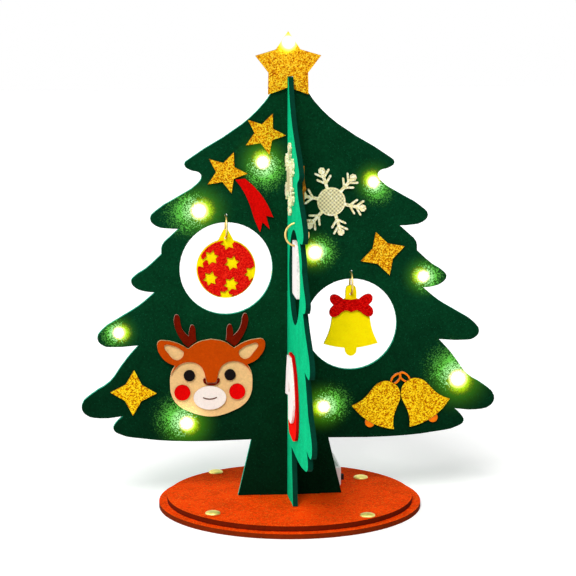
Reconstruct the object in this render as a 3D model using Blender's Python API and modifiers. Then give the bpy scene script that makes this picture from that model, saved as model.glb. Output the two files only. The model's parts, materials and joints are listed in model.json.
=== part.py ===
"""Felt Christmas tree: two slotted felt panels cross at right angles and stand in a riveted round base.
Stickers, hanging ornaments and a battery light string dress them. Metres, +Z up, X to the right along the
main panel, Y to the back along the cross panel, origin at the middle of the base's underside."""

import math

import bmesh
import bpy
from mathutils import Vector

# Gaps and play between pieces
SEAT_GAP = 0.0003
SLOT_PLAY = 0.0003
CUT_OVERRUN = 0.002
WELD_DISTANCE = 0.000003

# Sheet thicknesses
FELT = 0.003
FOAM = 0.0015
GLITTER_FOAM = 0.002
ORNAMENT_FELT = 0.0015
OVERLAY = 0.0012

# Base discs and the brads that clamp them
UPPER_DISC_RADIUS = 0.0743
LOWER_DISC_STEP = 0.005
DISC_SIDES = 72
# Punched by hand, so each brad lies at its own share of the upper disc's radius
BRAD_SHARES = {"back_right": 0.78, "back_left": 0.93, "front_left": 0.88, "front_right": 0.93}
BRAD_ANGLES = {"back_right": 34, "back_left": 126, "front_left": 220, "front_right": 305}
BRAD_HEAD_RADIUS = 0.0045
BRAD_HEAD_RISE = 0.0017
BRAD_EDGE = 0.0004
BRAD_SHANK_RADIUS = 0.001
BRAD_LEG_LENGTH = 0.015
BRAD_LEG_WIDTH = 0.002
BRAD_LEG_THICKNESS = 0.0005
BRAD_LEG_INSET = 0.0002
BRAD_SIDES = 20
DOME_STEPS = 4

# Tree panels: both are cut to one outline, and only their slots and holes differ
TREE_HALF_WIDTH = 0.125
TREE_HEIGHT = 0.2529
TAB_HALF_WIDTH = 0.018
CROSSING_SHARE = 0.5
OUTLINE_STEPS = 3
# Right half of the outline from the top down, as shares of half width and height. Each row starts at a sharp
# point and runs on smoothly.
TIER_SHARES = (
    ((0.052, 1.0),),
    (
        (0.075, 0.974), (0.120, 0.941), (0.228, 0.890), (0.476, 0.811), (0.502, 0.797), (0.472, 0.784),
        (0.436, 0.779), (0.421, 0.769), (0.440, 0.752), (0.528, 0.723), (0.636, 0.690), (0.666, 0.671),
        (0.640, 0.654), (0.576, 0.647),
    ),
    ((0.530, 0.646), (0.568, 0.629), (0.610, 0.607)),
    ((0.614, 0.586), (0.688, 0.553), (0.740, 0.536), (0.759, 0.523), (0.740, 0.508), (0.696, 0.499)),
    (
        (0.646, 0.496), (0.724, 0.464), (0.824, 0.434), (0.898, 0.409), (0.922, 0.388), (0.896, 0.371),
        (0.848, 0.367),
    ),
    (
        (0.725, 0.370), (0.770, 0.346), (0.812, 0.319), (0.864, 0.284), (0.952, 0.255), (1.0, 0.229),
        (0.986, 0.207), (0.912, 0.196),
    ),
    ((0.804, 0.200), (0.840, 0.183), (0.851, 0.169), (0.824, 0.157), (0.720, 0.145), (0.480, 0.135)),
    ((0.187, 0.136),),
    ((0.252, 0.0),),
)

# Windows and the rings that hang in them
WINDOW_RADIUS = 0.0278
WINDOW_SIDES = 48
WINDOW_SHARES = {"left": (-0.306, 0.550), "right": (0.2958, 0.4106)}
HANG_STRIP = 0.0042
RING_RADIUS = 0.0068
RING_WIRE_RADIUS = 0.0006
RING_HOLE_RADIUS = 0.00095
RING_SIDES = 24
WIRE_SIDES = 8
SMALL_HOLE_SIDES = 12

# Bauble
BAUBLE_RADIUS = 0.01765
BAUBLE_FACE_FELT = 0.0009
BAUBLE_DROP = 0.0255
BAUBLE_BACKING_RIM = 0.0006
BAUBLE_CAP_HALF_WIDTH = 0.0046
BAUBLE_PEAK_HALF_WIDTH = 0.0013
BAUBLE_PEAK_RISE = 0.0006
BAUBLE_FACE_WEIGHT_SHARE = 0.281
BAUBLE_STAR_RADIUS = 0.0048
STAR_OF_SIX_SHARE = 0.58
BAUBLE_STAR_SHARES = ((-0.524, 0.410), (0.205, 0.205), (-0.554, -0.330), (0.169, -0.548))
BAUBLE_EDGE_STAR_SHARES = ((0.066, 0.93), (0.897, -0.173), (-0.98, 0.27), (-0.03, -0.98))
BAUBLE_STAR_TURN = 12

# Bell ornament, measured down from the middle of its ring
BELL_HALF_WIDTH = 0.0164
BELL_TOP_DROP = 0.0015
BELL_HEIGHT = 0.0433
BELL_FELT = 0.002
BELL_SHARES = (
    ((0.0, 1.0), (0.146, 0.982), (0.195, 0.92)),
    ((0.201, 0.815), (0.427, 0.757), (0.64, 0.654), (0.69, 0.561), (0.79, 0.365)),
    ((1.0, 0.175), (0.58, 0.136)),
    ((0.22, 0.115), (0.183, 0.042), (0.0, 0.0)),
)
BOW_HALF_WIDTH = 0.0134
BOW_HEIGHT = 0.0142
BOW_DROP = 0.0138
BOW_SHARES = (
    ((0.0, 0.24),),
    ((0.35, 0.28), (0.67, 0.48), (0.90, 0.46), (0.96, 0.24)),
    ((0.80, 0.03), (0.98, -0.18), (0.93, -0.44), (0.72, -0.47), (0.27, -0.20)),
    ((0.0, -0.28),),
)
BOW_WEIGHT_SHARE = 0.164

# Parcel ornament: a card, and on it a wrapped parcel with its bow, whose ribbon is cut out
PARCEL_HALF_WIDTH = 0.0115
PARCEL_HEIGHT = 0.0315
PARCEL_ABOVE_HOLE = 0.002
PARCEL_FELT = 0.002
PARCEL_CORNER = 0.0008
WRAP_HALF_WIDTH = 0.0110
WRAP_HEIGHT = 0.0180
WRAP_DROP = 0.0126
WRAP_BORDER = 0.0012
WRAP_BOW_SHARES = (
    ((0.0, 0.0),),
    ((0.16, 0.02), (0.30, 0.20), (0.52, 0.26), (0.62, 0.12)),
    ((0.42, 0.0),),
    ((1.0, 0.0),),
    ((1.0, -1.0),),
    ((0.0, -1.0),),
)
RIBBON_HALF_WIDTH = 0.0017
RIBBON_WEIGHT_SHARE = 0.2115

# Star ornament
PENDANT_RADIUS = 0.0155
PENDANT_DROP = 0.0275
PENDANT_FELT = 0.0025
PENDANT_TAB_HALF_WIDTH = 0.0029
PENDANT_TAB_ABOVE_HOLE = 0.0026

# Topper star
TOPPER_RADIUS = 0.0205
TOPPER_INNER_SHARE = 0.6
TOPPER_RISE = 0.0064
TOPPER_SHIFT = -0.0012
TOPPER_SLIT_ABOVE_PANEL = 0.0006
TOPPER_LIGHT_SHARE = 0.69

# Five-point and four-point glitter stars on the panels
STAR_RADIUS = 0.0128
STAR_INNER_SHARE = 0.46
SPARKLE_RADIUS = 0.0138
SPARKLE_INNER_SHARE = 0.5
# Places as shares of half width and height, and the turn in degrees of the first point from +X
STAR_SHARES = {"star_sticker": (-0.123, 0.868), "comet_star": (-0.306, 0.778)}
STAR_TURNS = {"star_sticker": -4.6, "comet_star": -3.4}
SPARKLE_SHARES = {"sparkle_left": (-0.754, 0.257), "sparkle_right": (0.446, 0.580)}
SPARKLE_TURNS = {"sparkle_left": -2.3, "sparkle_right": 17.9}
CROSS_STAR_SHARES = (-0.345, 0.764)
CROSS_STAR_TURN = 180

# Comet tail, from its root at the comet star
TAIL_SHARES = (-0.262, 0.761)
TAIL_WIDTH = 0.0226
TAIL_LENGTH = 0.0316
TAIL_OUTLINE_SHARES = (
    ((0.0, 0.0), (0.20, -0.20), (0.38, -0.48), (0.51, -0.77)),
    ((0.65, -1.0),),
    ((0.71, -0.81),),
    ((0.90, -0.94),),
    ((0.81, -0.69),),
    ((1.0, -0.72), (0.81, -0.43), (0.53, -0.16)),
    ((0.25, 0.02),),
)

# Snowflakes
FLAKE_RADIUS = 0.0215
FLAKE_HUB_RADIUS = 0.0085
FLAKE_ARM_HALF_WIDTH = 0.0009
FLAKE_BALL_RADIUS = 0.0022
FLAKE_BARB_LENGTH = 0.0044
FLAKE_BARB_HALF_WIDTH = 0.0006
FLAKE_BARB_SHARES = (0.56, 0.74)
FLAKE_BARB_ANGLE = 48
FLAKE_ARMS = 6
FLAKE_BALL_STEPS = 6
FLAKE_HUB_STEPS = 4
MAIN_FLAKE_SHARES = (0.197, 0.706)
MAIN_FLAKE_TURN = 47.5
# The cross panel's snowflake stands off the main panel, and its height is a share of the tree's
CROSS_FLAKE_FROM_MAIN = 0.0026
CROSS_FLAKE_RISE_SHARE = 0.770
CROSS_FLAKE_TURN = 90

# Pair of bells
PAIR_HALF_WIDTH = 0.0149
PAIR_HEIGHT = 0.0243
PAIR_SHARES = (
    (
        (0.0, 1.0), (0.200, 0.985), (0.361, 0.930), (0.556, 0.776), (0.632, 0.560), (0.694, 0.345),
        (0.847, 0.129),
    ),
    ((1.0, 0.0), (0.660, -0.073), (0.330, -0.116), (0.0, -0.129)),
)
# The bells lean on each other at this place, level with the higher one's top
PAIR_MIDDLE_SHARES = (0.538, 0.2775)
PAIR_TURNS = {"left": -30.4, "right": 34.4}
PAIR_DROPS = {"left": 0.0015, "right": 0.0}
PAIR_CLAPPER_RADIUS = 0.003
PAIR_CLAPPER_SIDES = 12
LOOP_RADII = (0.0043, 0.0025)
LOOP_STROKE = 0.0011
LOOP_TURNS = {"left": 48, "right": -42}
# The middle of each loop from that place, as shares of a loop's longer radius
LOOP_MIDDLE_SHARES = {"left": (-0.72, -0.05), "right": (0.56, 0.16)}

# Deer head, measured up from its chin
DEER_SHARES = (-0.381, 0.196)
DEER_HALF_WIDTH = 0.0322
DEER_HEIGHT = 0.0472
DEER_TOP_SHARES = (
    ((0.0, 1.0), (0.242, 0.966)),
    (
        (0.429, 0.881), (0.606, 0.951), (0.854, 0.994), (0.975, 0.985), (1.0, 0.903), (0.929, 0.794),
        (0.817, 0.718),
    ),
)
DEER_CHEEK_SHARES = (
    (
        (0.668, 0.672), (0.742, 0.585), (0.767, 0.413), (0.739, 0.280), (0.621, 0.155), (0.404, 0.068),
        (0.155, 0.011), (0.0, 0.0),
    ),
)
DEER_BROW_SHARES = (
    ((0.668, 0.672),),
    ((0.752, 0.557), (0.658, 0.646), (0.534, 0.703), (0.385, 0.716), (0.236, 0.682), (0.152, 0.610)),
    ((0.106, 0.504),),
    ((0.084, 0.452), (0.0, 0.444)),
)
DEER_EAR_HOLE_SHARES = (
    (0.870, 0.936), (0.739, 0.936), (0.556, 0.875), (0.509, 0.837), (0.584, 0.748), (0.668, 0.742),
    (0.795, 0.826),
)
DEER_ANTLER_SHARES = (
    ((0.276, 0.985),),
    ((0.348, 0.948),),
    ((0.429, 0.903),),
    ((0.504, 0.945), (0.610, 1.060), (0.680, 1.190), (0.686, 1.275), (0.640, 1.326), (0.585, 1.290),
     (0.568, 1.210), (0.512, 1.110)),
    ((0.412, 1.040), (0.400, 1.130), (0.350, 1.190), (0.300, 1.150), (0.288, 1.050)),
)
# The spots sit a little to one side on the face, as they were glued
DEER_SPOT_SHIFT = -0.001
DEER_EYE_SHARES = (0.379, 0.540)
DEER_EYE_RADIUS = 0.0034
DEER_CHEEK_SPOT_SHARES = (0.512, 0.322)
DEER_CHEEK_RADIUS = 0.0048
DEER_MUZZLE_HEIGHT_SHARE = 0.248
DEER_MUZZLE_RADII = (0.0098, 0.0072)
DEER_NOSE_SHARES = (((0.140, 0.504), (0.158, 0.480), (0.130, 0.436), (0.070, 0.414), (0.0, 0.410)),)
SPOT_SIDES = 24

# Stocking on the cross panel
STOCKING_SHARES = (0.336, 0.2724)
STOCKING_HALF_WIDTH = 0.020
STOCKING_HEIGHT = 0.050
STOCKING_OUTLINE_SHARES = (
    ((-0.80, 0.47),),
    ((0.0, 0.485), (0.53, 0.35), (0.92, 0.15), (1.10, -0.06), (1.09, -0.26), (0.98, -0.38), (0.65, -0.47),
     (-0.35, -0.50), (-0.86, -0.46), (-0.98, -0.22), (-0.88, 0.12)),
)
CUFF_OUTLINE_SHARES = (
    ((-0.66, 0.45),),
    ((0.0, 0.465), (0.45, 0.345), (0.80, 0.14), (0.94, -0.02)),
    ((0.82, -0.16), (0.55, -0.255), (0.28, -0.29)),
    ((-0.38, -0.29), (-0.36, -0.15)),
    ((-0.40, -0.01),),
    ((-1.12, -0.05), (-0.96, 0.16)),
)
CUFF_SLIT_SHARES = ((-0.30, 0.04), (0.10, 0.07), (-0.15, 0.19))

# Light string. The route runs up the back of the main panel as shares of half width and height, and a light
# sits at each place that has a number.
LIGHT_WIRE_RADIUS = 0.0005
LIGHT_RADIUS = 0.0015
LIGHT_HALF_LENGTH = 0.0024
LIGHT_SIDES = 12
ROUTE_STEPS = 2
ROUTE_RIGHT_SHARES = (
    (0.150, 0.070, 0), (0.148, 0.140, 0), (0.163, 0.2115, 1), (0.380, 0.222, 0), (0.620, 0.250, 0),
    (0.821, 0.2725, 2), (0.748, 0.325, 0), (0.672, 0.382, 0), (0.622, 0.440, 0), (0.600, 0.492, 0),
    (0.645, 0.523, 3), (0.480, 0.565, 0), (0.300, 0.580, 0), (0.120, 0.5845, 4), (0.240, 0.668, 0),
    (0.400, 0.751, 5), (0.288, 0.806, 0), (0.176, 0.868, 0), (0.096, 0.925, 0), (0.046, 0.975, 0),
)
ROUTE_LEFT_SHARES = (
    (-0.046, 0.975, 0), (-0.090, 0.915, 0), (-0.130, 0.860, 0), (-0.130, 0.801, 7), (-0.260, 0.755, 0),
    (-0.433, 0.688, 8), (-0.500, 0.640, 0), (-0.562, 0.585, 0), (-0.594, 0.530, 0), (-0.608, 0.485, 0),
    (-0.690, 0.430, 0), (-0.820, 0.401, 9), (-0.735, 0.388, 0), (-0.678, 0.345, 0), (-0.640, 0.272, 0),
    (-0.575, 0.212, 0), (-0.499, 0.179, 10),
)
ROUTE_OVER_TOP = 0.004
ROUTE_OVER_TOP_SIDE = 0.0046
ROUTE_IN_STAR_SIDE = 0.0030

# Battery box
CASE_WIDTH = 0.029
CASE_HEIGHT = 0.012
CASE_WALL = 0.0016
CASE_EDGE = 0.0008
CASE_FROM_CROSS = 0.0028
CASE_FROM_MAIN = 0.0125
GROOVE_DEPTH = 0.001
GROOVE_RISE = 0.0092
COVER_THICKNESS = 0.001
COVER_RIB_LENGTH = 0.010
COVER_RIB_WIDTH = 0.0008
COVER_RIB_RISE = 0.0007
COVER_RIB_PITCH = 0.002
COVER_RIBS = 4
COVER_RIBS_FROM_END = 0.005
CELL_RADIUS = 0.010
CELL_STACK_HEIGHT = 0.0064
CELL_SIDES = 32
SWITCH_BAY_LENGTH = 0.0142
SWITCH_RISE = 0.0045
SWITCH_KNOB = 0.0032
SWITCH_KNOB_STANDOUT = 0.0022
SWITCH_TRAVEL = 0.003
SWITCH_PLATE_LENGTH = 0.0064
SWITCH_PLATE_HEIGHT = 0.0048
SWITCH_PLATE_THICKNESS = 0.0008
WIRE_EXIT_RISE = 0.0055
WIRE_EXIT_PLAY = 0.0003

LOWER_DISC_RADIUS = UPPER_DISC_RADIUS + LOWER_DISC_STEP
BASE_TOP = 2 * FELT + SEAT_GAP
TREE_FOOT = BASE_TOP + SEAT_GAP
TREE_TOP = TREE_FOOT + TREE_HEIGHT
SLOT_HALF_WIDTH = FELT / 2 + SLOT_PLAY
RING_HOLE_RISE = WINDOW_RADIUS + HANG_STRIP
RING_RISE = RING_HOLE_RISE - RING_RADIUS
STICKER_DEPTH = FELT / 2 + SEAT_GAP + FOAM / 2
GLITTER_DEPTH = FELT / 2 + SEAT_GAP + GLITTER_FOAM / 2
SECOND_LAYER_DEPTH = FELT / 2 + SEAT_GAP + FOAM + SEAT_GAP + OVERLAY / 2
WIRE_DEPTH = FELT / 2 + SEAT_GAP + LIGHT_WIRE_RADIUS
LIGHT_HOLE_RADIUS = LIGHT_RADIUS + SEAT_GAP
CASE_LENGTH = 2 * CASE_WALL + 2 * SEAT_GAP + 2 * CELL_RADIUS + SWITCH_BAY_LENGTH
CELL_FROM_MIDDLE = CASE_LENGTH / 2 - CASE_WALL - SEAT_GAP - CELL_RADIUS
SWITCH_FROM_MIDDLE = CASE_WALL + SEAT_GAP + SWITCH_PLATE_LENGTH / 2 - CASE_LENGTH / 2
CASE_FLOOR = BASE_TOP + SEAT_GAP
CASE_MIDDLE = Vector((
    FELT / 2 + CASE_FROM_CROSS + CASE_WIDTH / 2,
    FELT / 2 + CASE_FROM_MAIN + CASE_LENGTH / 2,
    0,
))

TREE = bpy.data.collections.new("felt_christmas_tree")
CUTTERS = bpy.data.collections.new("cutters")

# How a flat piece drawn in X and Y stands: the face that its +Z side looks away from, and its rotation
FACING = {
    "front": (math.pi / 2, 0, 0),
    "cross_right": (math.pi / 2, 0, math.pi / 2),
    "cross_left": (math.pi / 2, 0, -math.pi / 2),
    "up": (0, 0, 0),
}


def material(name, colour, roughness, metallic=0.0):
    made = bpy.data.materials.new(name)
    made.use_nodes = True
    shader = made.node_tree.nodes["Principled BSDF"]
    shader.inputs["Base Color"].default_value = (*colour, 1)
    shader.inputs["Roughness"].default_value = roughness
    shader.inputs["Metallic"].default_value = metallic
    return made


GREEN_FELT = material("green_felt", (0.006, 0.105, 0.045), 0.95)
BASE_FELT = material("base_felt", (0.52, 0.075, 0.01), 0.95)
GOLD_GLITTER = material("gold_glitter", (0.72, 0.40, 0.05), 0.45, 0.4)
CREAM_GLITTER = material("cream_glitter", (0.78, 0.72, 0.55), 0.5)
RED_FELT = material("red_felt", (0.62, 0.01, 0.01), 0.9)
RED_GLITTER = material("red_glitter", (0.70, 0.01, 0.01), 0.45)
YELLOW_FELT = material("yellow_felt", (0.90, 0.62, 0.01), 0.9)
WHITE_FELT = material("white_felt", (0.85, 0.84, 0.80), 0.9)
ORANGE_FOAM = material("orange_foam", (0.80, 0.20, 0.01), 0.7)
CREAM_FELT = material("cream_felt", (0.75, 0.55, 0.30), 0.9)
BROWN_FELT = material("brown_felt", (0.50, 0.12, 0.01), 0.9)
DARK_BROWN_FELT = material("dark_brown_felt", (0.13, 0.02, 0.005), 0.9)
BLACK_FOAM = material("black_foam", (0.01, 0.01, 0.01), 0.6)
BRASS = material("brass", (0.80, 0.58, 0.22), 0.25, 1.0)
GOLD_WIRE = material("gold_wire", (0.75, 0.52, 0.20), 0.25, 1.0)
COPPER_WIRE = material("copper_wire", (0.60, 0.50, 0.40), 0.35, 1.0)
LIGHT_RESIN = material("light_resin", (1.0, 0.93, 0.70), 0.1)
WHITE_PLASTIC = material("white_plastic", (0.85, 0.85, 0.84), 0.35)
CELL_STEEL = material("cell_steel", (0.62, 0.62, 0.62), 0.25, 1.0)


def clear_scene():
    for old in list(bpy.data.objects):
        bpy.data.objects.remove(old, do_unlink=True)
    bpy.context.scene.collection.children.link(TREE)
    bpy.context.scene.collection.children.link(CUTTERS)


def keep(obj, made_of):
    """Links a finished piece into the tree's collection with its material."""
    TREE.objects.link(obj)
    obj.data.materials.clear()
    obj.data.materials.append(made_of)
    return obj


def take(name, made_of=None):
    """Names the primitive just added and moves it to the tree's collection, or to the cutters' if it has no
    material."""
    obj = bpy.context.object
    obj.name = name
    for held in list(obj.users_collection):
        held.objects.unlink(obj)
    if made_of:
        return keep(obj, made_of)
    TREE.objects.link(obj)
    as_cutter(obj)
    return obj


# Outlines: a point is (x, y, sharp)
def outline(rows, width, height):
    """Rows of shares as points, sharp at the start of each row."""
    return [(x * width, y * height, i == 0) for row in rows for i, (x, y) in enumerate(row)]


def with_mirror(half):
    """A half outline that starts and ends on the middle line, closed by its mirror image."""
    back = [(-x, y, sharp) for x, y, sharp in reversed(half) if x > 0]
    return half + back


def ellipse(radii, middle=(0, 0), sides=SPOT_SIDES):
    turns = [2 * math.pi * i / sides for i in range(sides)]
    return [(middle[0] + radii[0] * math.cos(t), middle[1] + radii[1] * math.sin(t), True) for t in turns]


def circle(radius, middle=(0, 0), sides=SPOT_SIDES):
    return ellipse((radius, radius), middle, sides)


def star(points, radius, inner_share, turn=0, middle=(0, 0)):
    """A star whose first point lies at turn degrees from +X."""
    corners = []
    for i in range(2 * points):
        angle = math.radians(turn) + math.pi * i / points
        reach = radius if i % 2 == 0 else radius * inner_share
        corners.append((middle[0] + reach * math.cos(angle), middle[1] + reach * math.sin(angle), True))
    return corners


def turned(points, degrees, middle=(0, 0)):
    c, s = math.cos(math.radians(degrees)), math.sin(math.radians(degrees))
    return [(middle[0] + c * x - s * y, middle[1] + s * x + c * y, sharp) for x, y, sharp in points]


def add_loop(data, points):
    """Adds one closed loop to a 2D curve: straight between sharp points, smooth through the others."""
    if all(sharp for _, _, sharp in points):
        spline = data.splines.new("POLY")
        spline.points.add(len(points) - 1)
        for held, (x, y, _) in zip(spline.points, points):
            held.co = (x, y, 0, 1)
    else:
        spline = data.splines.new("BEZIER")
        spline.bezier_points.add(len(points) - 1)
        for held, (x, y, sharp) in zip(spline.bezier_points, points):
            held.co = (x, y, 0)
            held.handle_left_type = held.handle_right_type = "VECTOR" if sharp else "AUTO"
    spline.use_cyclic_u = True


def sheet(name, loops, thickness, made_of, facing="front", place=(0, 0), depth=0.0, steps=OUTLINE_STEPS):
    """A flat piece cut from a sheet. place is across and up on the panel, depth is out from its middle."""
    data = bpy.data.curves.new(name, "CURVE")
    data.dimensions = "2D"
    data.fill_mode = "BOTH"
    data.extrude = thickness / 2
    data.resolution_u = steps
    for points in loops:
        add_loop(data, points)
    obj = bpy.data.objects.new(name, data)
    obj.rotation_euler = FACING[facing]
    across, up = place
    obj.location = {
        "front": (across, -depth, up),
        "cross_right": (depth, across, up),
        "cross_left": (-depth, -across, up),
        "up": (across, up, depth),
    }[facing]
    return keep(obj, made_of)


def as_mesh(obj):
    """The same piece as a mesh with welded caps, so that it can be cut."""
    bpy.context.view_layer.update()
    graph = bpy.context.evaluated_depsgraph_get()
    mesh = bpy.data.meshes.new_from_object(obj.evaluated_get(graph))
    work = bmesh.new()
    work.from_mesh(mesh)
    bmesh.ops.remove_doubles(work, verts=work.verts, dist=WELD_DISTANCE)
    bmesh.ops.recalc_face_normals(work, faces=work.faces)
    work.to_mesh(mesh)
    work.free()
    name, matrix, made_of = obj.name, obj.matrix_world.copy(), obj.data.materials[0]
    bpy.data.objects.remove(obj, do_unlink=True)
    made = bpy.data.objects.new(name, mesh)
    made.matrix_world = matrix
    return keep(made, made_of)


def as_cutter(obj):
    """Moves a finished shape to the cutters, which the tree leaves out."""
    TREE.objects.unlink(obj)
    CUTTERS.objects.link(obj)
    obj.hide_render = True
    obj.display_type = "WIRE"


def box(name, low, high, made_of=None):
    bpy.ops.mesh.primitive_cube_add(size=1, location=[(a + b) / 2 for a, b in zip(low, high)])
    obj = take(name, made_of)
    obj.scale = [b - a for a, b in zip(low, high)]
    return obj


def apply_scale(obj):
    for vertex in obj.data.vertices:
        vertex.co = Vector(a * b for a, b in zip(vertex.co, obj.scale))
    obj.scale = (1, 1, 1)


def boolean(obj, other, operation="DIFFERENCE"):
    change = obj.modifiers.new(other.name, "BOOLEAN")
    change.operation = operation
    change.object = other


def pivot(name, place, holder=None):
    made = bpy.data.objects.new(name, None)
    made.location = place
    TREE.objects.link(made)
    if holder:
        carry(made, holder)
    return made


def carry(obj, holder):
    """Parents a piece without moving it."""
    bpy.context.view_layer.update()
    obj.parent = holder
    obj.matrix_parent_inverse = holder.matrix_world.inverted()


def on_panel(shares):
    return shares[0] * TREE_HALF_WIDTH, TREE_FOOT + shares[1] * TREE_HEIGHT


# Base
def brad_places():
    for name, degrees in BRAD_ANGLES.items():
        angle = math.radians(degrees)
        out = BRAD_SHARES[name] * UPPER_DISC_RADIUS
        yield name, angle, (out * math.cos(angle), out * math.sin(angle))


def tab_slot():
    long, wide = TAB_HALF_WIDTH + SLOT_PLAY, SLOT_HALF_WIDTH
    quarter = [(long, wide), (wide, wide), (wide, long)]
    corners = []
    for turn in range(4):
        points = [(x, y, True) for x, y in quarter]
        corners += turned(points, 90 * turn)
    return corners


def base_discs():
    holes = [
        circle(BRAD_SHANK_RADIUS + SEAT_GAP, place, SMALL_HOLE_SIDES) for _, _, place in brad_places()
    ]
    upper_rim = circle(UPPER_DISC_RADIUS, sides=DISC_SIDES)
    lower_rim = circle(LOWER_DISC_RADIUS, sides=DISC_SIDES)
    upper = [upper_rim, tab_slot(), *holes]
    sheet("base_upper_disc", upper, FELT, BASE_FELT, "up", depth=FELT + SEAT_GAP + FELT / 2)
    lower = as_mesh(sheet("base_lower_disc", [lower_rim, *holes], FELT, BASE_FELT, "up", depth=FELT / 2))
    for name, angle, place in brad_places():
        recess_top = BRAD_LEG_INSET + BRAD_LEG_THICKNESS + SEAT_GAP
        half_length = BRAD_LEG_LENGTH / 2 + SEAT_GAP
        half_width = BRAD_LEG_WIDTH / 2 + SEAT_GAP
        cutter = box(
            "leg_recess_" + name,
            (-half_length, -half_width, -CUT_OVERRUN),
            (half_length, half_width, recess_top),
        )
        cutter.location = (*place, cutter.location.z)
        cutter.rotation_euler.z = angle
        boolean(lower, cutter)


def brad_profile(seat, end):
    """Half section of a brad's domed head and shank, down its outer side."""
    dome = [
        (
            BRAD_HEAD_RADIUS * math.sin(math.pi / 2 * i / DOME_STEPS),
            seat + BRAD_EDGE + (BRAD_HEAD_RISE - BRAD_EDGE) * math.cos(math.pi / 2 * i / DOME_STEPS),
        )
        for i in range(DOME_STEPS + 1)
    ]
    return [*dome, (BRAD_HEAD_RADIUS, seat), (BRAD_SHANK_RADIUS, seat), (BRAD_SHANK_RADIUS, end), (0, end)]


def brads():
    leg_low = BRAD_LEG_INSET
    leg_high = BRAD_LEG_INSET + BRAD_LEG_THICKNESS
    profile = brad_profile(TREE_FOOT, (leg_low + leg_high) / 2)
    for name, angle, place in brad_places():
        data = bpy.data.meshes.new("brad_" + name)
        edges = [(i, i + 1) for i in range(len(profile) - 1)]
        data.from_pydata([(r, 0, z) for r, z in profile], edges, [])
        brad = keep(bpy.data.objects.new("brad_" + name, data), BRASS)
        brad.location = (*place, 0)
        brad.rotation_euler.z = angle
        spin = brad.modifiers.new("turned", "SCREW")
        spin.steps = spin.render_steps = BRAD_SIDES
        spin.use_merge_vertices = True
        spin.merge_threshold = WELD_DISTANCE
        legs = box(
            "legs_" + name,
            (-BRAD_LEG_LENGTH / 2, -BRAD_LEG_WIDTH / 2, leg_low),
            (BRAD_LEG_LENGTH / 2, BRAD_LEG_WIDTH / 2, leg_high),
        )
        legs.location = (*place, legs.location.z)
        legs.rotation_euler.z = angle
        boolean(brad, legs, "UNION")


# Tree panels
def panel_outline(slot_at_top):
    """The whole outline, up from the trunk's foot, with its tab and its half-lap slot."""
    rise = CROSSING_SHARE * (TREE_HEIGHT + FELT) - FELT
    half = outline(TIER_SHARES, TREE_HALF_WIDTH, TREE_HEIGHT)
    half += [(TAB_HALF_WIDTH, 0, True), (TAB_HALF_WIDTH, -FELT, True)]
    if slot_at_top:
        floor = rise - SEAT_GAP / 2
        half = [(SLOT_HALF_WIDTH, floor, True), (SLOT_HALF_WIDTH, TREE_HEIGHT, True), *half]
    else:
        ceiling = rise + SEAT_GAP / 2
        half += [(SLOT_HALF_WIDTH, -FELT, True), (SLOT_HALF_WIDTH, ceiling, True)]
    return with_mirror(half)


def panel_holes():
    """The two windows, and the hole above each that its ring hangs from."""
    loops = []
    for shares in WINDOW_SHARES.values():
        x, z = shares[0] * TREE_HALF_WIDTH, shares[1] * TREE_HEIGHT
        loops.append(circle(WINDOW_RADIUS, (x, z), WINDOW_SIDES))
        loops.append(circle(RING_HOLE_RADIUS, (x, z + RING_HOLE_RISE), SMALL_HOLE_SIDES))
    return loops


def tree_panels():
    lights = [
        circle(LIGHT_HOLE_RADIUS, (x * TREE_HALF_WIDTH, z * TREE_HEIGHT), SMALL_HOLE_SIDES)
        for x, z, number in ROUTE_RIGHT_SHARES + ROUTE_LEFT_SHARES
        if number
    ]
    main = [panel_outline(slot_at_top=False), *panel_holes(), *lights]
    cross = [panel_outline(slot_at_top=True), *panel_holes()]
    sheet("main_panel", main, FELT, GREEN_FELT, "front", (0, TREE_FOOT))
    sheet("cross_panel", cross, FELT, GREEN_FELT, "cross_right", (0, TREE_FOOT))


# Stars
def topper_star():
    middle = TREE_TOP + TOPPER_RISE
    light = circle(LIGHT_HOLE_RADIUS, (0, TOPPER_LIGHT_SHARE * TOPPER_RADIUS), SMALL_HOLE_SIDES)
    loops = [star(5, TOPPER_RADIUS, TOPPER_INNER_SHARE, turn=90), light]
    place = (TOPPER_SHIFT, middle)
    made = as_mesh(sheet("topper_star", loops, GLITTER_FOAM, GOLD_GLITTER, "front", place, GLITTER_DEPTH))
    slit = box(
        "topper_slit",
        (-SLOT_HALF_WIDTH, -GLITTER_DEPTH - GLITTER_FOAM, middle - TOPPER_RADIUS - CUT_OVERRUN),
        (SLOT_HALF_WIDTH, -FELT / 2, TREE_TOP + TOPPER_SLIT_ABOVE_PANEL),
    )
    boolean(made, slit)


def glitter_stars():
    for name, shares in STAR_SHARES.items():
        shape = star(5, STAR_RADIUS, STAR_INNER_SHARE, STAR_TURNS[name])
        sheet(name, [shape], FOAM, GOLD_GLITTER, "front", on_panel(shares), STICKER_DEPTH)
    for name, shares in SPARKLE_SHARES.items():
        shape = star(4, SPARKLE_RADIUS, SPARKLE_INNER_SHARE, SPARKLE_TURNS[name])
        sheet(name, [shape], FOAM, GOLD_GLITTER, "front", on_panel(shares), STICKER_DEPTH)
    shape = star(5, STAR_RADIUS, STAR_INNER_SHARE, CROSS_STAR_TURN)
    place = on_panel(CROSS_STAR_SHARES)
    sheet("cross_star", [shape], FOAM, GOLD_GLITTER, "cross_right", place, STICKER_DEPTH)


def comet_tail():
    shape = outline(TAIL_OUTLINE_SHARES, TAIL_WIDTH, TAIL_LENGTH)
    sheet("comet_tail", [shape], FOAM, RED_FELT, "front", on_panel(TAIL_SHARES), STICKER_DEPTH)


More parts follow.
